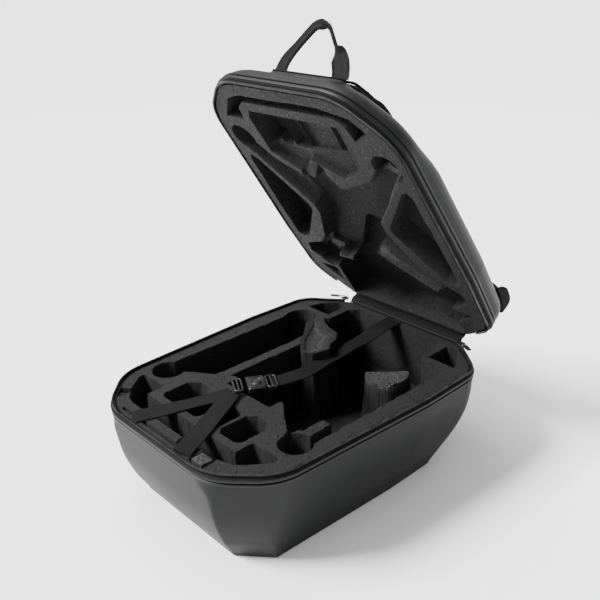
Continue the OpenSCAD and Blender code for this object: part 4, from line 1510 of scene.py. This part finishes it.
def bevelled(outline: Array, low: float, high: float, bevel: float, dome: float = 0.0) -> Array:
    """Rings of a slab with rounded edges.

    Formula: the outline shrinks towards its middle by b(1 - cos a) while it rises by b sin a, at
    the bottom and the top, and the top may crown by dome over three more rings.

    Args:
        outline: closed plan outline.
        low: Z of the bottom.
        high: Z of the top.
        bevel: the edge's radius.
        dome: how far the middle stands above the top.

    Returns:
        The rings, bottom to top.
    """
    middle = outline.mean(0)
    reach = np.linalg.norm(outline - middle, axis=1).mean()
    steps = np.linspace(0, math.pi / 2, 4)
    rows = [(1 - bevel * (1 - math.sin(a)) / reach, low + bevel * (1 - math.cos(a))) for a in steps]
    rows += [(1 - bevel * (1 - math.cos(a)) / reach, high - bevel + bevel * math.sin(a)) for a in steps]
    if dome:
        rows += [((1 - bevel / reach) * s, high + dome * (1 - s * s)) for s in (0.85, 0.6, 0.3)]
    return np.array([np.column_stack([middle + (outline - middle) * s, np.full(len(outline), z)]) for s, z in rows])


def bar_frame(width: float, length: float, bar: float, height: float, z: float, shift: float = 0.0) -> Solid:
    """A rounded bar bent round a rectangle, as in a strap adjuster, with one bar across it."""
    path = rounded_rectangle(width - bar, length - bar, bar, 4)
    path = np.column_stack([path[:, 0], path[:, 1] + shift, np.full(len(path), z)])
    solid = Solid().sweep(path, rounded_rectangle(bar, height, min(bar, height) * 0.4, 3), [0, 0, 1.0], closed=True)
    cross = np.linspace([-width / 2 + bar / 2, shift, z + 0.4], [width / 2 - bar / 2, shift, z + 0.4], 9)
    return solid.sweep(cross, rounded_rectangle(bar * 0.9, height * 0.7, 0.6, 2), [0, 0, 1.0])


def web_section(width: float, thick: float = 1.6) -> Array:
    """Cross-section of flat webbing, with rounded selvedges and a few points over its width."""
    x = np.linspace(-width / 2 + 0.5, width / 2 - 0.5, 9)
    ridge = 0.10 * np.cos(np.linspace(-math.pi, math.pi, 9))
    top = np.column_stack([x[::-1], thick / 2 - 0.1 - ridge])
    low = np.column_stack([x, -thick / 2 + 0.1 + ridge])
    return np.vstack([top, [[-width / 2, 0.25]], [[-width / 2, -0.25]], low, [[width / 2, -0.25]],
                      [[width / 2, 0.25]]])


def stitches(solid: Solid, line: Array, up: Array, pitch: float = 2.6, run: float = 1.9,
             thick: float = 0.42) -> Solid:
    """Short thread stitches laid along a line.

    Formula: one six-sided stitch is repeated at every pitch, along the line's tangent.
    """
    count = max(int(np.linalg.norm(np.diff(line, axis=0), axis=1).sum() / pitch), 2)
    at = even_path(line, count)
    tangent = unit(np.gradient(at, axis=0))
    lift = np.broadcast_to(np.asarray(up, float), at.shape)
    side = unit(np.cross(tangent, lift))
    lift = np.cross(side, tangent)
    one = Solid().loft(np.array([
        np.column_stack([np.full(6, s * run / 2), circle(thick * k, 6) + [0, z]])
        for s, k, z in ((-1, 0.5, -0.15), (-0.5, 1, 0.12), (0.5, 1, 0.12), (1, 0.5, -0.15))
    ]))
    p = one.points[0]
    placed = at[:, None] + tangent[:, None] * p[None, :, :1] + side[:, None] * p[None, :, 1:2] + lift[:,
            None] * p[None, :, 2:]
    offset = (np.arange(count) * len(p))[:, None, None]
    return solid.add(placed.reshape(-1, 3), [(f[None] + offset).reshape(-1, f.shape[1]) for f in one.faces],
                     [np.tile(u, (count, 1, 1)) for u in one.uvs])


# -------------------------------------------------------- retaining strap, buckle


@dataclass
class RetainingStrap:
    """The Y-shaped strap over the base foam."""

    finishes: Finishes
    width: float = 25.0
    thick: float = 1.6

    def build(self) -> None:
        """Makes the two short tails and the long strap: a web section carried along smooth lines."""
        self.tail([(-57, -214, 131.5), (-55.6, -211.5, 137.6), (-53.5, -207, 139.2), (-40, -166, 138.9),
                   (-27, -127, 138.8), (-15, -92, 139.4)],
                  "strap_tail_near", "strap_tail_left")
        self.tail([(49.6, -214.5, 132.5), (48.4, -211.5, 139.4), (46.6, -207.5, 140.9), (27, -168, 140.4),
                   (6, -128, 140.5), (-14, -92, 141.0)],
                  "strap_tail_far", "strap_tail_right")
        path = smooth_path([(5.5, -41, 143.4), (9.2, -35, 143.8), (9.5, -28, 142.4), (6, -8, 137.5),
                            (-2, 30, 129.5), (-11, 70, 125.6),
                            (-13.5, 100, 124.8), (-13, 140, 129.0), (-10, 176, 136.4), (-8, 197, 139.6),
                            (-8, 209, 139.2), (-8, 213.4, 135.6)], 90)
        s = np.linspace(0, 1, len(path))
        path[:, 2] += 0.7 * np.sin(s * 23) * ease(s * 5) * ease((1 - s) * 5)
        lean = np.column_stack([0.10 * np.sin(s * 9), np.zeros_like(s), np.ones_like(s)])
        solid = Solid().sweep(path, web_section(self.width, self.thick), lean)
        fold = smooth_path([(6.4, -39.5, 142.0), (9.0, -34, 142.2), (10.6, -26, 140.6), (9.2, -14, 137.4)], 16)
        solid.sweep(fold, web_section(self.width - 0.6, self.thick), [0, 0, 1.0])
        place(solid, "strap_long_web", Body.BASE, self.finishes.web, ("strap_long",),
              bend=((-0.011, 0.070, 0.126), (0.0094, -0.030, 0.1425), Body.TONGUE))

    def tail(self, points: list, name: str, node: str) -> None:
        """One short strap from the nose edge to the adjuster."""
        path = smooth_path(points, 46)
        s = np.linspace(0, 1, len(path))
        lean = np.column_stack([0.05 * np.sin(s * 7), np.zeros_like(s), np.ones_like(s)])
        place(Solid().sweep(path, web_section(self.width, self.thick), lean), name, Body.BASE,
              self.finishes.web, (node,))


@dataclass
class Buckle:
    """The push-button buckle and its adjuster."""

    finishes: Finishes
    at: tuple = (-5.0, -60.0, 139.0)
    turn: float = -30.0

    def stand(self, p: Array) -> Array:
        """Points of the buckle's own frame where the buckle lies."""
        return turned(p, self.turn) + np.array(self.at)

    def build(self) -> None:
        """Makes the adjuster, socket, button and tongue from bevelled slabs and bent bars."""
        clip = self.finishes.clip
        adjuster = bar_frame(32, 13, 2.7, 4.3, 5.6, -23.5)
        place(adjuster.moved(self.stand), "buckle_slider_bar", Body.BASE, clip,
              ("buckle_adjuster",))
        body = rounded_rectangle(32, 24, 4.2, 6)
        waist = body * np.column_stack([1 - 0.07 * np.exp(-(body[:, 1] / 6.5) ** 2), np.ones(len(body))])
        socket = Solid().loft(bevelled(waist, 0.3, 7.9, 1.5))
        rim = np.column_stack([circle(1.0, 40) * [8.4, 7.6] + [0, 1], np.full(40, 7.9)])
        socket.sweep(rim, rounded_rectangle(1.5, 1.7, 0.6, 3), [0, 0, 1.0], closed=True)
        for side in Side:
            rib = np.linspace([side.value * 13.4, -8.5, 7.9], [side.value * 13.4, 8.5, 7.9], 8)
            socket.sweep(rib, rounded_rectangle(1.3, 1.2, 0.45, 2), [0, 0, 1.0])
        bridge = np.linspace([-13.5, -10.6, 7.6], [13.5, -10.6, 7.6], 8)
        socket.sweep(bridge, rounded_rectangle(2.0, 1.6, 0.6, 2), [0, 0, 1.0])
        place(socket.moved(self.stand), "buckle_body", Body.BASE, clip, ("buckle_socket",))
        button = Solid().loft(bevelled(circle(1.0, 40) * [6.6, 5.8] + [0, 1], 5.8, 8.7, 0.7, dome=0.5))
        place(button.moved(self.stand), "buckle_press_button", Body.BUTTON, clip,
              ("buckle_button",))
        tongue = bar_frame(31, 15, 2.9, 6.2, 4.2, 20.0)
        tongue.loft(bevelled(rounded_rectangle(22, 14.5, 2.0, 3) + [0, 6.0], 2.2, 3.8, 0.4))
        place(tongue.moved(self.stand), "buckle_tongue_frame", Body.TONGUE, clip,
              ("buckle_tongue",))


@dataclass
class FoamPlug:
    """The loose block of cut foam in the nose corner."""

    finishes: Finishes
    at: tuple = (73.0, -202.0)

    def build(self) -> None:
        """Makes the block: a bevelled slab that leans very slightly."""
        plan = rounded_rectangle(19.6, 16.6, 1.6, 4)
        rings = bevelled(plan, 110.2, 139.3, 0.9)
        rings[..., 0] += self.at[0] + 0.12 * (rings[..., 2] - 125) / 15
        rings[..., 1] += self.at[1]
        place(Solid().loft(rings), "foam_block", Body.PLUG, self.finishes.block, ("foam_plug",))


# ------------------------------------------------------------- hinge and zipper


@dataclass
class HingeStrip:
    """The cloth strip that joins the halves, and the light cord along it."""

    finishes: Finishes
    half: float = 105.0

    def build(self) -> None:
        """Makes both pieces.

        Formula: the strip's section is carried along X, its middle puckering by a small sine
        of X; the cord is a circle with shallow twisted ridges.
        """
        line = smooth_path([(215.9, 137.2), (216.6, 140.2), (218.6, 143.0), (221.6, 144.9), (226.0, 146.4),
                            (228.9, 148.4), (230.8, 150.2)], 14)
        normal = unit(np.gradient(line, axis=0))
        normal = np.column_stack([-normal[:, 1], normal[:, 0]])
        x = np.linspace(-self.half, self.half, 150)
        bulge = np.sin(np.linspace(0, math.pi, 14))
        pucker = 0.22 * np.sin(x[:, None] * 0.62) * bulge + 0.14 * np.sin(x[:, None] * 1.7 + 1) * bulge
        upper = line[None] + normal[None] * (0.55 + pucker)[..., None]
        lower = line[None] - normal[None] * (0.55 - pucker * 0.8)[..., None]
        section = np.concatenate([upper, lower[:, ::-1]], 1)
        rings = np.concatenate([np.broadcast_to(x[:, None, None], (150, 28, 1)), section], 2)
        place(Solid().loft(rings), "hinge_cloth", Body.BASE, self.finishes.cloth,
              ("hinge_gusset",),
              bend=((0.0, 0.2164, 0.1385), (0.0, 0.2252, 0.1462), Body.LID))
        x = np.linspace(-103.6, 103.6, 320)
        path = np.column_stack([x, 214.0 + 0 * x, 140.8 - 2.6 * ease((np.abs(x) - 100) / 4)])
        a = np.linspace(0, 2 * math.pi, 13)[:-1]
        swell = 1.3 + 0.12 * np.cos(3 * a[None] + x[:, None] * 2.2)
        profile = np.stack([swell * np.cos(a), swell * np.sin(a)], 2)
        place(Solid().sweep(path, profile, [0, 0, 1.0]), "hinge_cord", Body.BASE, self.finishes.piping,
              ("hinge_piping",), sharp=70.0)


@dataclass
class ZipperSlider:
    """One metal slider and its pull, at the end of the zipper's run."""

    finishes: Finishes
    side: Side
    at: tuple = (112.7, 210.7, 142.2)
    turn: float = 28.0

    def stand(self, p: Array) -> Array:
        """Points of the slider's frame where it sits; the left one is mirrored."""
        out = turned(p, -self.turn) + np.array(self.at)
        return out * [self.side.value, 1, 1]

    def build(self) -> None:
        """Makes the slider body with its bridge, and the pull with its ring and tab."""
        word = self.side.name.lower()
        plan = rounded_rectangle(12, 8, 2.6, 5)
        plan[:, 1] *= 1 - 0.16 * (plan[:, 0] / 6)
        solid = Solid().loft(bevelled(plan, 0.0, 1.2, 0.35))
        arch = smooth_path([(-3.4, 0, 1.0), (-2.9, 0, 2.9), (-1.2, 0, 3.95), (1.2, 0, 3.95), (2.9, 0, 2.9),
                            (3.4, 0, 1.0)], 20)
        solid.sweep(arch, rounded_rectangle(2.6, 0.7, 0.25, 3), [0.001, 0, 1.0])
        self.put(solid, f"slider_{word}_body", Body.BASE, f"zipper_slider_{word}")
        pull = Solid()
        ring = rounded_rectangle(10.6, 6.0, 2.2, 5) + [4.6, 0]
        ring = np.column_stack([ring, np.full(len(ring), 3.0)])
        pull.sweep(ring, rounded_rectangle(1.2, 1.2, 0.45, 3), [0, 0, 1.0], closed=True)
        tab = rounded_rectangle(15, 7.0, 2.4, 5) + [16.7, 0]
        tab[:, 1] *= 1 - 0.14 * np.exp(-((tab[:, 0] - 16.7) / 3.5) ** 2)
        pull.loft(bevelled(tab, 2.35, 3.65, 0.4))
        lip = rounded_rectangle(9.5, 3.4, 1.5, 5) + [17.4, 0]
        pull.sweep(np.column_stack([lip, np.full(len(lip), 3.65)]), circle(0.28, 8), [0, 0, 1.0], closed=True)
        self.put(pull, f"slider_{word}_pull", Body.PULL_LEFT if self.side is Side.LEFT else Body.PULL_RIGHT,
                 f"zipper_pull_{word}")

    def put(self, solid: Solid, name: str, body: Body, node: str) -> None:
        """Stands a metal piece and turns its faces outward again after mirroring."""
        made = Solid()
        start = 0
        for p in solid.points:
            fs = [(f, u) for f, u in zip(solid.faces, solid.uvs) if start <= f.min() < start + len(p)]
            made.add(self.stand(p), [f - start for f, _ in fs], [u for _, u in fs])
            start += len(p)
        place(made, name, body, self.finishes.metal, (node,))


# ------------------------------------------------------------- back and harness


CLOTH_FRAMES = 20


def puffed(mesh: bpy.types.Mesh, pressure: float, cap: float, voxel: float = 0.005) -> bpy.types.Mesh:
    """Lets a pad swell like stuffed cloth.

    The mesh is remade in even cells, its cloth is blown up for 20 frames without gravity, and no
    point moves further than the cap: p + d min(1, cap / |d|).

    Args:
        mesh: the pad's closed shape, a little smaller than the finished one, in metres.
        pressure: the cloth's inner pressure.
        cap: the greatest movement in metres.
        voxel: the size of the even cells in metres.

    Returns:
        The swollen mesh.
    """
    pad = bpy.data.objects.new("pad_work", mesh)
    bpy.context.scene.collection.objects.link(pad)
    remesh = pad.modifiers.new("even", "REMESH")
    remesh.mode = "VOXEL"
    remesh.voxel_size = voxel
    cloth = pad.modifiers.new("cloth", "CLOTH")
    cloth.settings.use_pressure = True
    cloth.settings.uniform_pressure_force = pressure
    cloth.settings.effector_weights.gravity = 0.0
    cloth.settings.quality = 5
    cloth.settings.tension_stiffness = 20
    cloth.point_cache.frame_start, cloth.point_cache.frame_end = 1, CLOTH_FRAMES
    cloth.show_viewport = False
    before = bpy.data.meshes.new_from_object(pad.evaluated_get(bpy.context.evaluated_depsgraph_get()))
    start = np.empty(len(before.vertices) * 3, np.float32)
    before.vertices.foreach_get("co", start)
    pad.modifiers.remove(remesh)
    pad.data = before
    cloth.show_viewport = True
    for step in range(1, CLOTH_FRAMES + 1):
        bpy.context.scene.frame_set(step)
    after = bpy.data.meshes.new_from_object(pad.evaluated_get(bpy.context.evaluated_depsgraph_get()))
    bpy.data.objects.remove(pad)
    bpy.context.scene.frame_set(1)
    end = np.empty_like(start)
    after.vertices.foreach_get("co", end)
    moved = (end - start).reshape(-1, 3)
    length = np.maximum(np.linalg.norm(moved, axis=1, keepdims=True), 1e-9)
    kept = start.reshape(-1, 3) + moved * np.minimum(1, cap / length)
    after.vertices.foreach_set("co", kept.astype(np.float32).ravel())
    after.update()
    return after


def grooved(mesh: bpy.types.Mesh, lines: list, deep: float, wide: float) -> bpy.types.Mesh:
    """Presses sewn channels into a pad.

    Formula: a point moves along the inward direction by deep exp(-(s / wide)^2), where s is its
    distance in plan from the nearest channel line; lines are given in the lid's own frame.
    The draw-in of the lid's free end is not undone on the way in, so a pad near it gets it twice.
    """
    co = np.empty(len(mesh.vertices) * 3, np.float32)
    mesh.vertices.foreach_get("co", co)
    p = co.reshape(-1, 3).astype(float) / MM
    a = math.radians(ON_LID.angle)
    y, z = p[:, 1] - HINGE_Y, p[:, 2] - HINGE_Z
    lx = p[:, 0]
    ly = HINGE_Y + y * math.cos(a) - z * math.sin(a)
    ld = y * math.sin(a) + z * math.cos(a) - (BASE_H - HINGE_Z)
    away = np.full(len(p), 1e3)
    for line in lines:
        q = np.asarray(line, float)
        for s, e in zip(q[:-1], q[1:]):
            d = e - s
            t = np.clip(((lx - s[0]) * d[0] + (ly - s[1]) * d[1]) / (d @ d), 0, 1)
            away = np.minimum(away, np.hypot(lx - s[0] - t * d[0], ly - s[1] - t * d[1]))
    level = ease((ld - ld.min()) / max(np.ptp(ld), 1e-6) * 1.6)
    ld = ld - deep * np.exp(-(away / wide) ** 2) * level
    out = ON_LID(np.column_stack([lx, ly, ld])) * MM
    mesh.vertices.foreach_set("co", out.astype(np.float32).ravel())
    mesh.update()
    return mesh


def smoothed_mesh(mesh: bpy.types.Mesh, levels: int = 1) -> bpy.types.Mesh:
    """The mesh with one subdivision applied."""
    work = bpy.data.objects.new("smooth_work", mesh)
    bpy.context.scene.collection.objects.link(work)
    fine = work.modifiers.new("fine", "SUBSURF")
    fine.levels = fine.render_levels = levels
    out = bpy.data.meshes.new_from_object(work.evaluated_get(bpy.context.evaluated_depsgraph_get()))
    bpy.data.objects.remove(work)
    return out


@dataclass
class BackHarness:
    """The lid's back pad, its shoulder straps, adjusters, webs and lugs."""

    finishes: Finishes
    pad_depth: float = 50.4
    strap_depth: float = 57.0

    def pad_shape(self, ring: Array, low: float, high: float, edge: float) -> Solid:
        """A flat pad over a plan ring, thinner towards its edge.

        Formula: rings shrink towards the middle by s while the top rises as
        low + (high - low) sqrt(1 - s^2), s running from 1 at the edge to 0.
        """
        middle = ring.mean(0)
        s = np.cos(np.linspace(0, math.pi / 2 * 0.94, 14))
        width = np.linalg.norm(ring - middle, axis=1).min()
        squeeze = 1 - (1 - s) * edge / width
        rise = low + (high - low) * (0.35 + 0.65 * np.sqrt(1 - s**2))
        bottom = at_height(middle + (ring - middle) * (1 - edge / width * 0.4), low)
        rings = [at_height(middle + (ring - middle) * 0.4, low), bottom]
        rings += [at_height(middle + (ring - middle) * k, z) for k, z in zip(squeeze, rise)]
        rings += [at_height(middle + (ring - middle) * k, high) for k in (0.5, 0.2)]
        return Solid().loft(np.array(rings)).moved(ON_LID)

    def back_pad(self) -> None:
        """The quilted pad on the lid's back."""
        ring = OUTER.ring(29.0, 10, 12)
        ring[:, 1] = np.maximum(ring[:, 1], -180.5)
        mesh = puffed(self.pad_shape(ring, self.pad_depth, self.pad_depth + 5.0, 9.0).mesh("pad"), 4.0, 0.003)
        lines = [[(0, -176), (0, 178)], [(-34, -176), (-34, 170)], [(34, -176), (34, 170)],
                 [(-96, -60), (-34, -60)], [(34, -60), (96, -60)], [(-96, 60), (-34, 60)], [(34, 60), (96, 60)]]
        mesh = grooved(smoothed_mesh(mesh), lines, 2.6, 3.2)
        piece = place(mesh, "back_quilt", Body.LID, self.finishes.mesh, ("back_pad",), sharp=80.0)
        edge = OUTER.even(29.6, 420)
        edge[:, 1] = np.maximum(edge[:, 1], -180.0)
        path = at_height(edge, self.pad_depth + 1.3)
        band = Solid().sweep(path, rounded_rectangle(3.4, 2.6, 1.1, 3), [0, 0, 1.0], closed=True).moved(ON_LID)
        place(band, "back_quilt_binding", Body.LID, self.finishes.binding)

    def strap_line(self) -> tuple[Array, Array]:
        """Middle line of a right-hand shoulder strap and its half width along it."""
        line = smooth_path([(50, -180), (50.5, -150), (53, -80), (58, -10), (64, 40), (76, 84), (81, 98)], 64)
        t = np.linspace(0, 1, 64)
        half = np.interp(t, [0, 0.1, 0.35, 0.6, 0.8, 0.95, 1.0], [37, 36.5, 33.5, 30.5, 28, 20, 13.5])
        return line, half

    def shoulder(self, side: Side) -> None:
        """One padded shoulder strap with its binding and its sewn channels pressed in."""
        line, half = self.strap_line()
        tangent = unit(np.gradient(line, axis=0))
        out = np.column_stack([tangent[:, 1], -tangent[:, 0]])
        ring = np.vstack([line + out * half[:, None], (line - out * half[:, None])[::-1]])
        ring = ring * [side.value, 1]
        if side is Side.LEFT:
            ring = ring[::-1]
        a = np.linspace(0, 2 * math.pi, 29)[:-1]
        power = 2 / 3.2
        cx = np.sign(np.cos(a)) * np.abs(np.cos(a)) ** power
        cz = np.sign(np.sin(a)) * np.abs(np.sin(a)) ** power
        t = np.linspace(0, 1, 64)
        thick = 5.4 * np.minimum(ease(t * 12) * 0.5 + 0.5, ease((1 - t) * 9) * 0.6 + 0.4)
        middle = self.strap_depth + 6.2
        arch = 8.5 * ease(t * 9) * (1 - ease((t - 0.14) / 0.22))
        rings = np.stack([
            (line[:, None, 0] + out[:, None, 0] * (half[:, None] - 2) * cx[None]) * side.value,
            line[:, None, 1] + out[:, None, 1] * (half[:, None] - 2) * cx[None],
            middle + arch[:, None] + thick[:, None] * cz[None],
        ], 2)
        mesh = puffed(Solid().loft(rings).moved(ON_LID).mesh("strap"), 5.0, 0.004)
        inner = [[(side.value * (x + o * k), y) for (x, y),
                  o in zip(line[4:58:4], half[4:58:4])] for k in (-0.42, 0.42)]
        mesh = grooved(smoothed_mesh(mesh), inner, 2.0, 2.4)
        word = side.name.lower()
        piece = place(mesh, f"shoulder_pad_{word}", Body.LID, self.finishes.pad,
                      (f"shoulder_strap_{word}",), sharp=80.0)
        height = middle + np.r_[arch, arch[::-1]][:: (1 if side is Side.RIGHT else -1)]
        loop = np.column_stack([ring, height])
        loop = even_path(np.vstack([loop, loop[:1]]), 360)[:-1]
        band = Solid().sweep(loop, rounded_rectangle(2.6, 3.4, 1.1, 3), [0, 0, 1.0], closed=True).moved(ON_LID)
        place(band, f"shoulder_pad_{word}_binding", Body.LID, self.finishes.binding)

    def fittings(self, side: Side) -> None:
        """The adjuster, the lower web and the lug of one side."""
        word, k = side.name.lower(), side.value
        ladder = bar_frame(34, 22, 3.4, 4.3, 0.0)
        ladder.sweep(np.linspace([-14, 5.2, 0.6], [14, 5.2, 0.6], 7), rounded_rectangle(2.6, 3.0, 0.8, 2),
                     [0, 0, 1.0])

        def stand(p: Array) -> Array:
            """The adjuster's place on the lid's back."""
            q = turned(p, -38.0) + np.array([90.0, 117.0, self.strap_depth + 4.3])
            return ON_LID(q * [k, 1, 1])
        rebuilt(ladder, stand, f"harness_adjuster_{word}", self.finishes.clip,
                f"strap_ladder_{word}")
        path = smooth_path([(79, 104, 62.6), (88, 115.5, 62.2), (97.5, 127, 61.0), (112, 143.5, 60.6),
                            (126, 159, 60.9), (134, 168, 60.8)], 40) * [k, 1, 1]
        web = Solid().sweep(path, web_section(24.4), [0, 0, 1.0]).moved(ON_LID)
        place(web, f"harness_web_{word}", Body.LID, self.finishes.web, (f"strap_web_{word}",))
        section = smooth_path([(141, 49.5), (150, 56), (160, 65), (171, 65.6), (182, 64), (187.4, 58),
                               (188, 50), (186, 39), (176, 43), (160, 48), (141, 49.5)], 41)[:-1]
        rings = []
        for x, s in ((147.2, 0.86), (147.5, 0.95), (148.2, 0.99), (152.8, 0.99), (153.5, 0.95), (153.8, 0.86)):
            middle = section.mean(0)
            rings.append(np.column_stack([np.full(40, k * x), middle + (section - middle) * s]))
        lug = Solid().loft(np.array(rings))
        edge = np.column_stack([np.full(40, k * 153.9), section.mean(0) + (section - section.mean(0)) * 0.86])
        lug.moved(ON_LID)
        place(lug, f"corner_lug_{word}", Body.LID, self.finishes.cloth, (f"strap_lug_{word}",),
              sharp=50.0)
        thread = stitches(Solid(), ON_LID(np.vstack([edge, edge[:1]])), [k, 0, 0.01])
        place(thread, f"corner_lug_{word}_stitches", Body.LID, self.finishes.thread)

    def build(self) -> None:
        """Makes every piece on the lid's back."""
        self.back_pad()
        for side in Side:
            self.shoulder(side)
            self.fittings(side)


def rebuilt(solid: Solid, stand, name: str, finish: bpy.types.Material, node: str) -> None:
    """Places a solid of several closed parts after a move that may mirror it."""
    made = Solid()
    start = 0
    for p in solid.points:
        fs = [(f, u) for f, u in zip(solid.faces, solid.uvs) if start <= f.min() < start + len(p)]
        made.add(stand(p), [f - start for f, _ in fs], [u for _, u in fs])
        start += len(p)
    place(made, name, Body.LID, finish, (node,))


# ----------------------------------------------------------------------- handle


@dataclass
class CarryHandle:
    """The webbing handle, its anchor and rivets."""

    finishes: Finishes
    root_y: float = -191.0
    root_depth: float = 52.6
    lean: float = 32.0

    def stand(self, p: Array) -> Array:
        """Points across, along the thickness and up the handle, where the leaned handle stands."""
        a = math.radians(self.lean)
        y, z = p[..., 1], p[..., 2]
        q = np.stack([p[..., 0], self.root_y + y * math.cos(a) - z * math.sin(a),
                      self.root_depth + y * math.sin(a) + z * math.cos(a)], -1)
        return ABOVE_LID(q)

    def build(self) -> None:
        """Makes the loop, the anchor and the rivets.

        Formula: the loop is a web section, narrow at the grip and wide at its ends, carried along
        a line that leans in from both roots.
        """
        right = [(50, 0.6), (48.5, 9), (44, 19), (31, 36), (17.5, 52.5), (12.5, 57.5), (7.5, 60.2), (0, 60.8)]
        points = right + [(-x, z) for x, z in right[-2::-1]]
        line = smooth_path([(x, 0.0, z) for x, z in points], 120)
        t = np.linspace(0, 1, 120)
        width = np.interp(t, [0, 0.12, 0.21, 0.25, 0.45, 0.5, 0.76, 0.84, 1.0],
                          [27, 27, 24, 9, 8, 12.5, 12.5, 16, 22])
        thick = np.interp(t, [0, 0.2, 0.26, 0.76, 0.84, 1.0], [2.5, 2.5, 4.0, 4.0, 2.6, 2.5])
        twist = np.radians(np.interp(t, [0, 0.18, 0.27, 0.43, 0.54, 0.8, 1.0], [0, -4, -60, -56, -4, 0, 0]))
        unit_section = web_section(2.0, 2.0)
        profile = unit_section[None] * np.stack([width / 2, thick / 2], 1)[:, None]
        side = unit(np.cross(unit(np.gradient(line, axis=0)), [0, 1.0, 0]))
        up = np.array([0, 1.0, 0]) * np.cos(twist)[:, None] + side * np.sin(twist)[:, None]
        loop = Solid().sweep(line, profile, up)
        place(loop.moved(self.stand), "carry_loop", Body.HANDLE, self.finishes.grip,
              ("top_handle",), sharp=50.0)
        across = unit(np.cross(unit(np.gradient(line, axis=0)), up))
        thread = Solid()
        for face in (-1, 1):
            for k in (-0.38, 0.38):
                run = line + across * (width * k)[:, None] + face * up * (thick / 2 - 0.05)[:, None]
                stitches(thread, self.stand(run[6:-6]),
                         self.stand(np.array([0, face * 1.0, 0])) - self.stand(np.zeros(3)))
        place(thread, "carry_loop_stitches", Body.HANDLE, self.finishes.thread)
        anchor = rounded_rectangle(127, 12.6, 4, 5) + [0, self.root_y]
        plate = Solid().loft(bevelled(anchor, 50.4, 52.2, 0.6))
        place(plate.moved(ON_LID), "carry_anchor", Body.LID, self.finishes.cloth,
              ("handle_anchor",))
        studs = Solid()
        for x in (-24.0, 0.0, 24.0):
            studs.loft(bevelled(circle(3.8, 28) + [x, self.root_y], 52.3, 53.2, 0.35, dome=0.35))
        place(studs.moved(ON_LID), "anchor_rivets", Body.LID, self.finishes.rivet, ("lid_rivets",))


def main() -> None:
    """Builds the case, piece by piece, and the studio round it."""
    logging.basicConfig(level=logging.INFO, format="%(message)s")
    finishes = Finishes()
    Studio().build()
    BaseShell(finishes=finishes).build()
    LidShell(finishes=finishes).build()
    for body in (Body.BASE, Body.LID):
        RimSet(body, finishes).build()
    BaseLiner(finishes).build()
    RightSaddle(finishes).build()
    LidLiner(finishes).build()
    FoamPlug(finishes).build()
    RetainingStrap(finishes).build()
    Buckle(finishes).build()
    HingeStrip(finishes).build()
    for side in Side:
        ZipperSlider(finishes, side).build()
    BackHarness(finishes).build()
    CarryHandle(finishes).build()


if __name__ == "__main__":
    main()
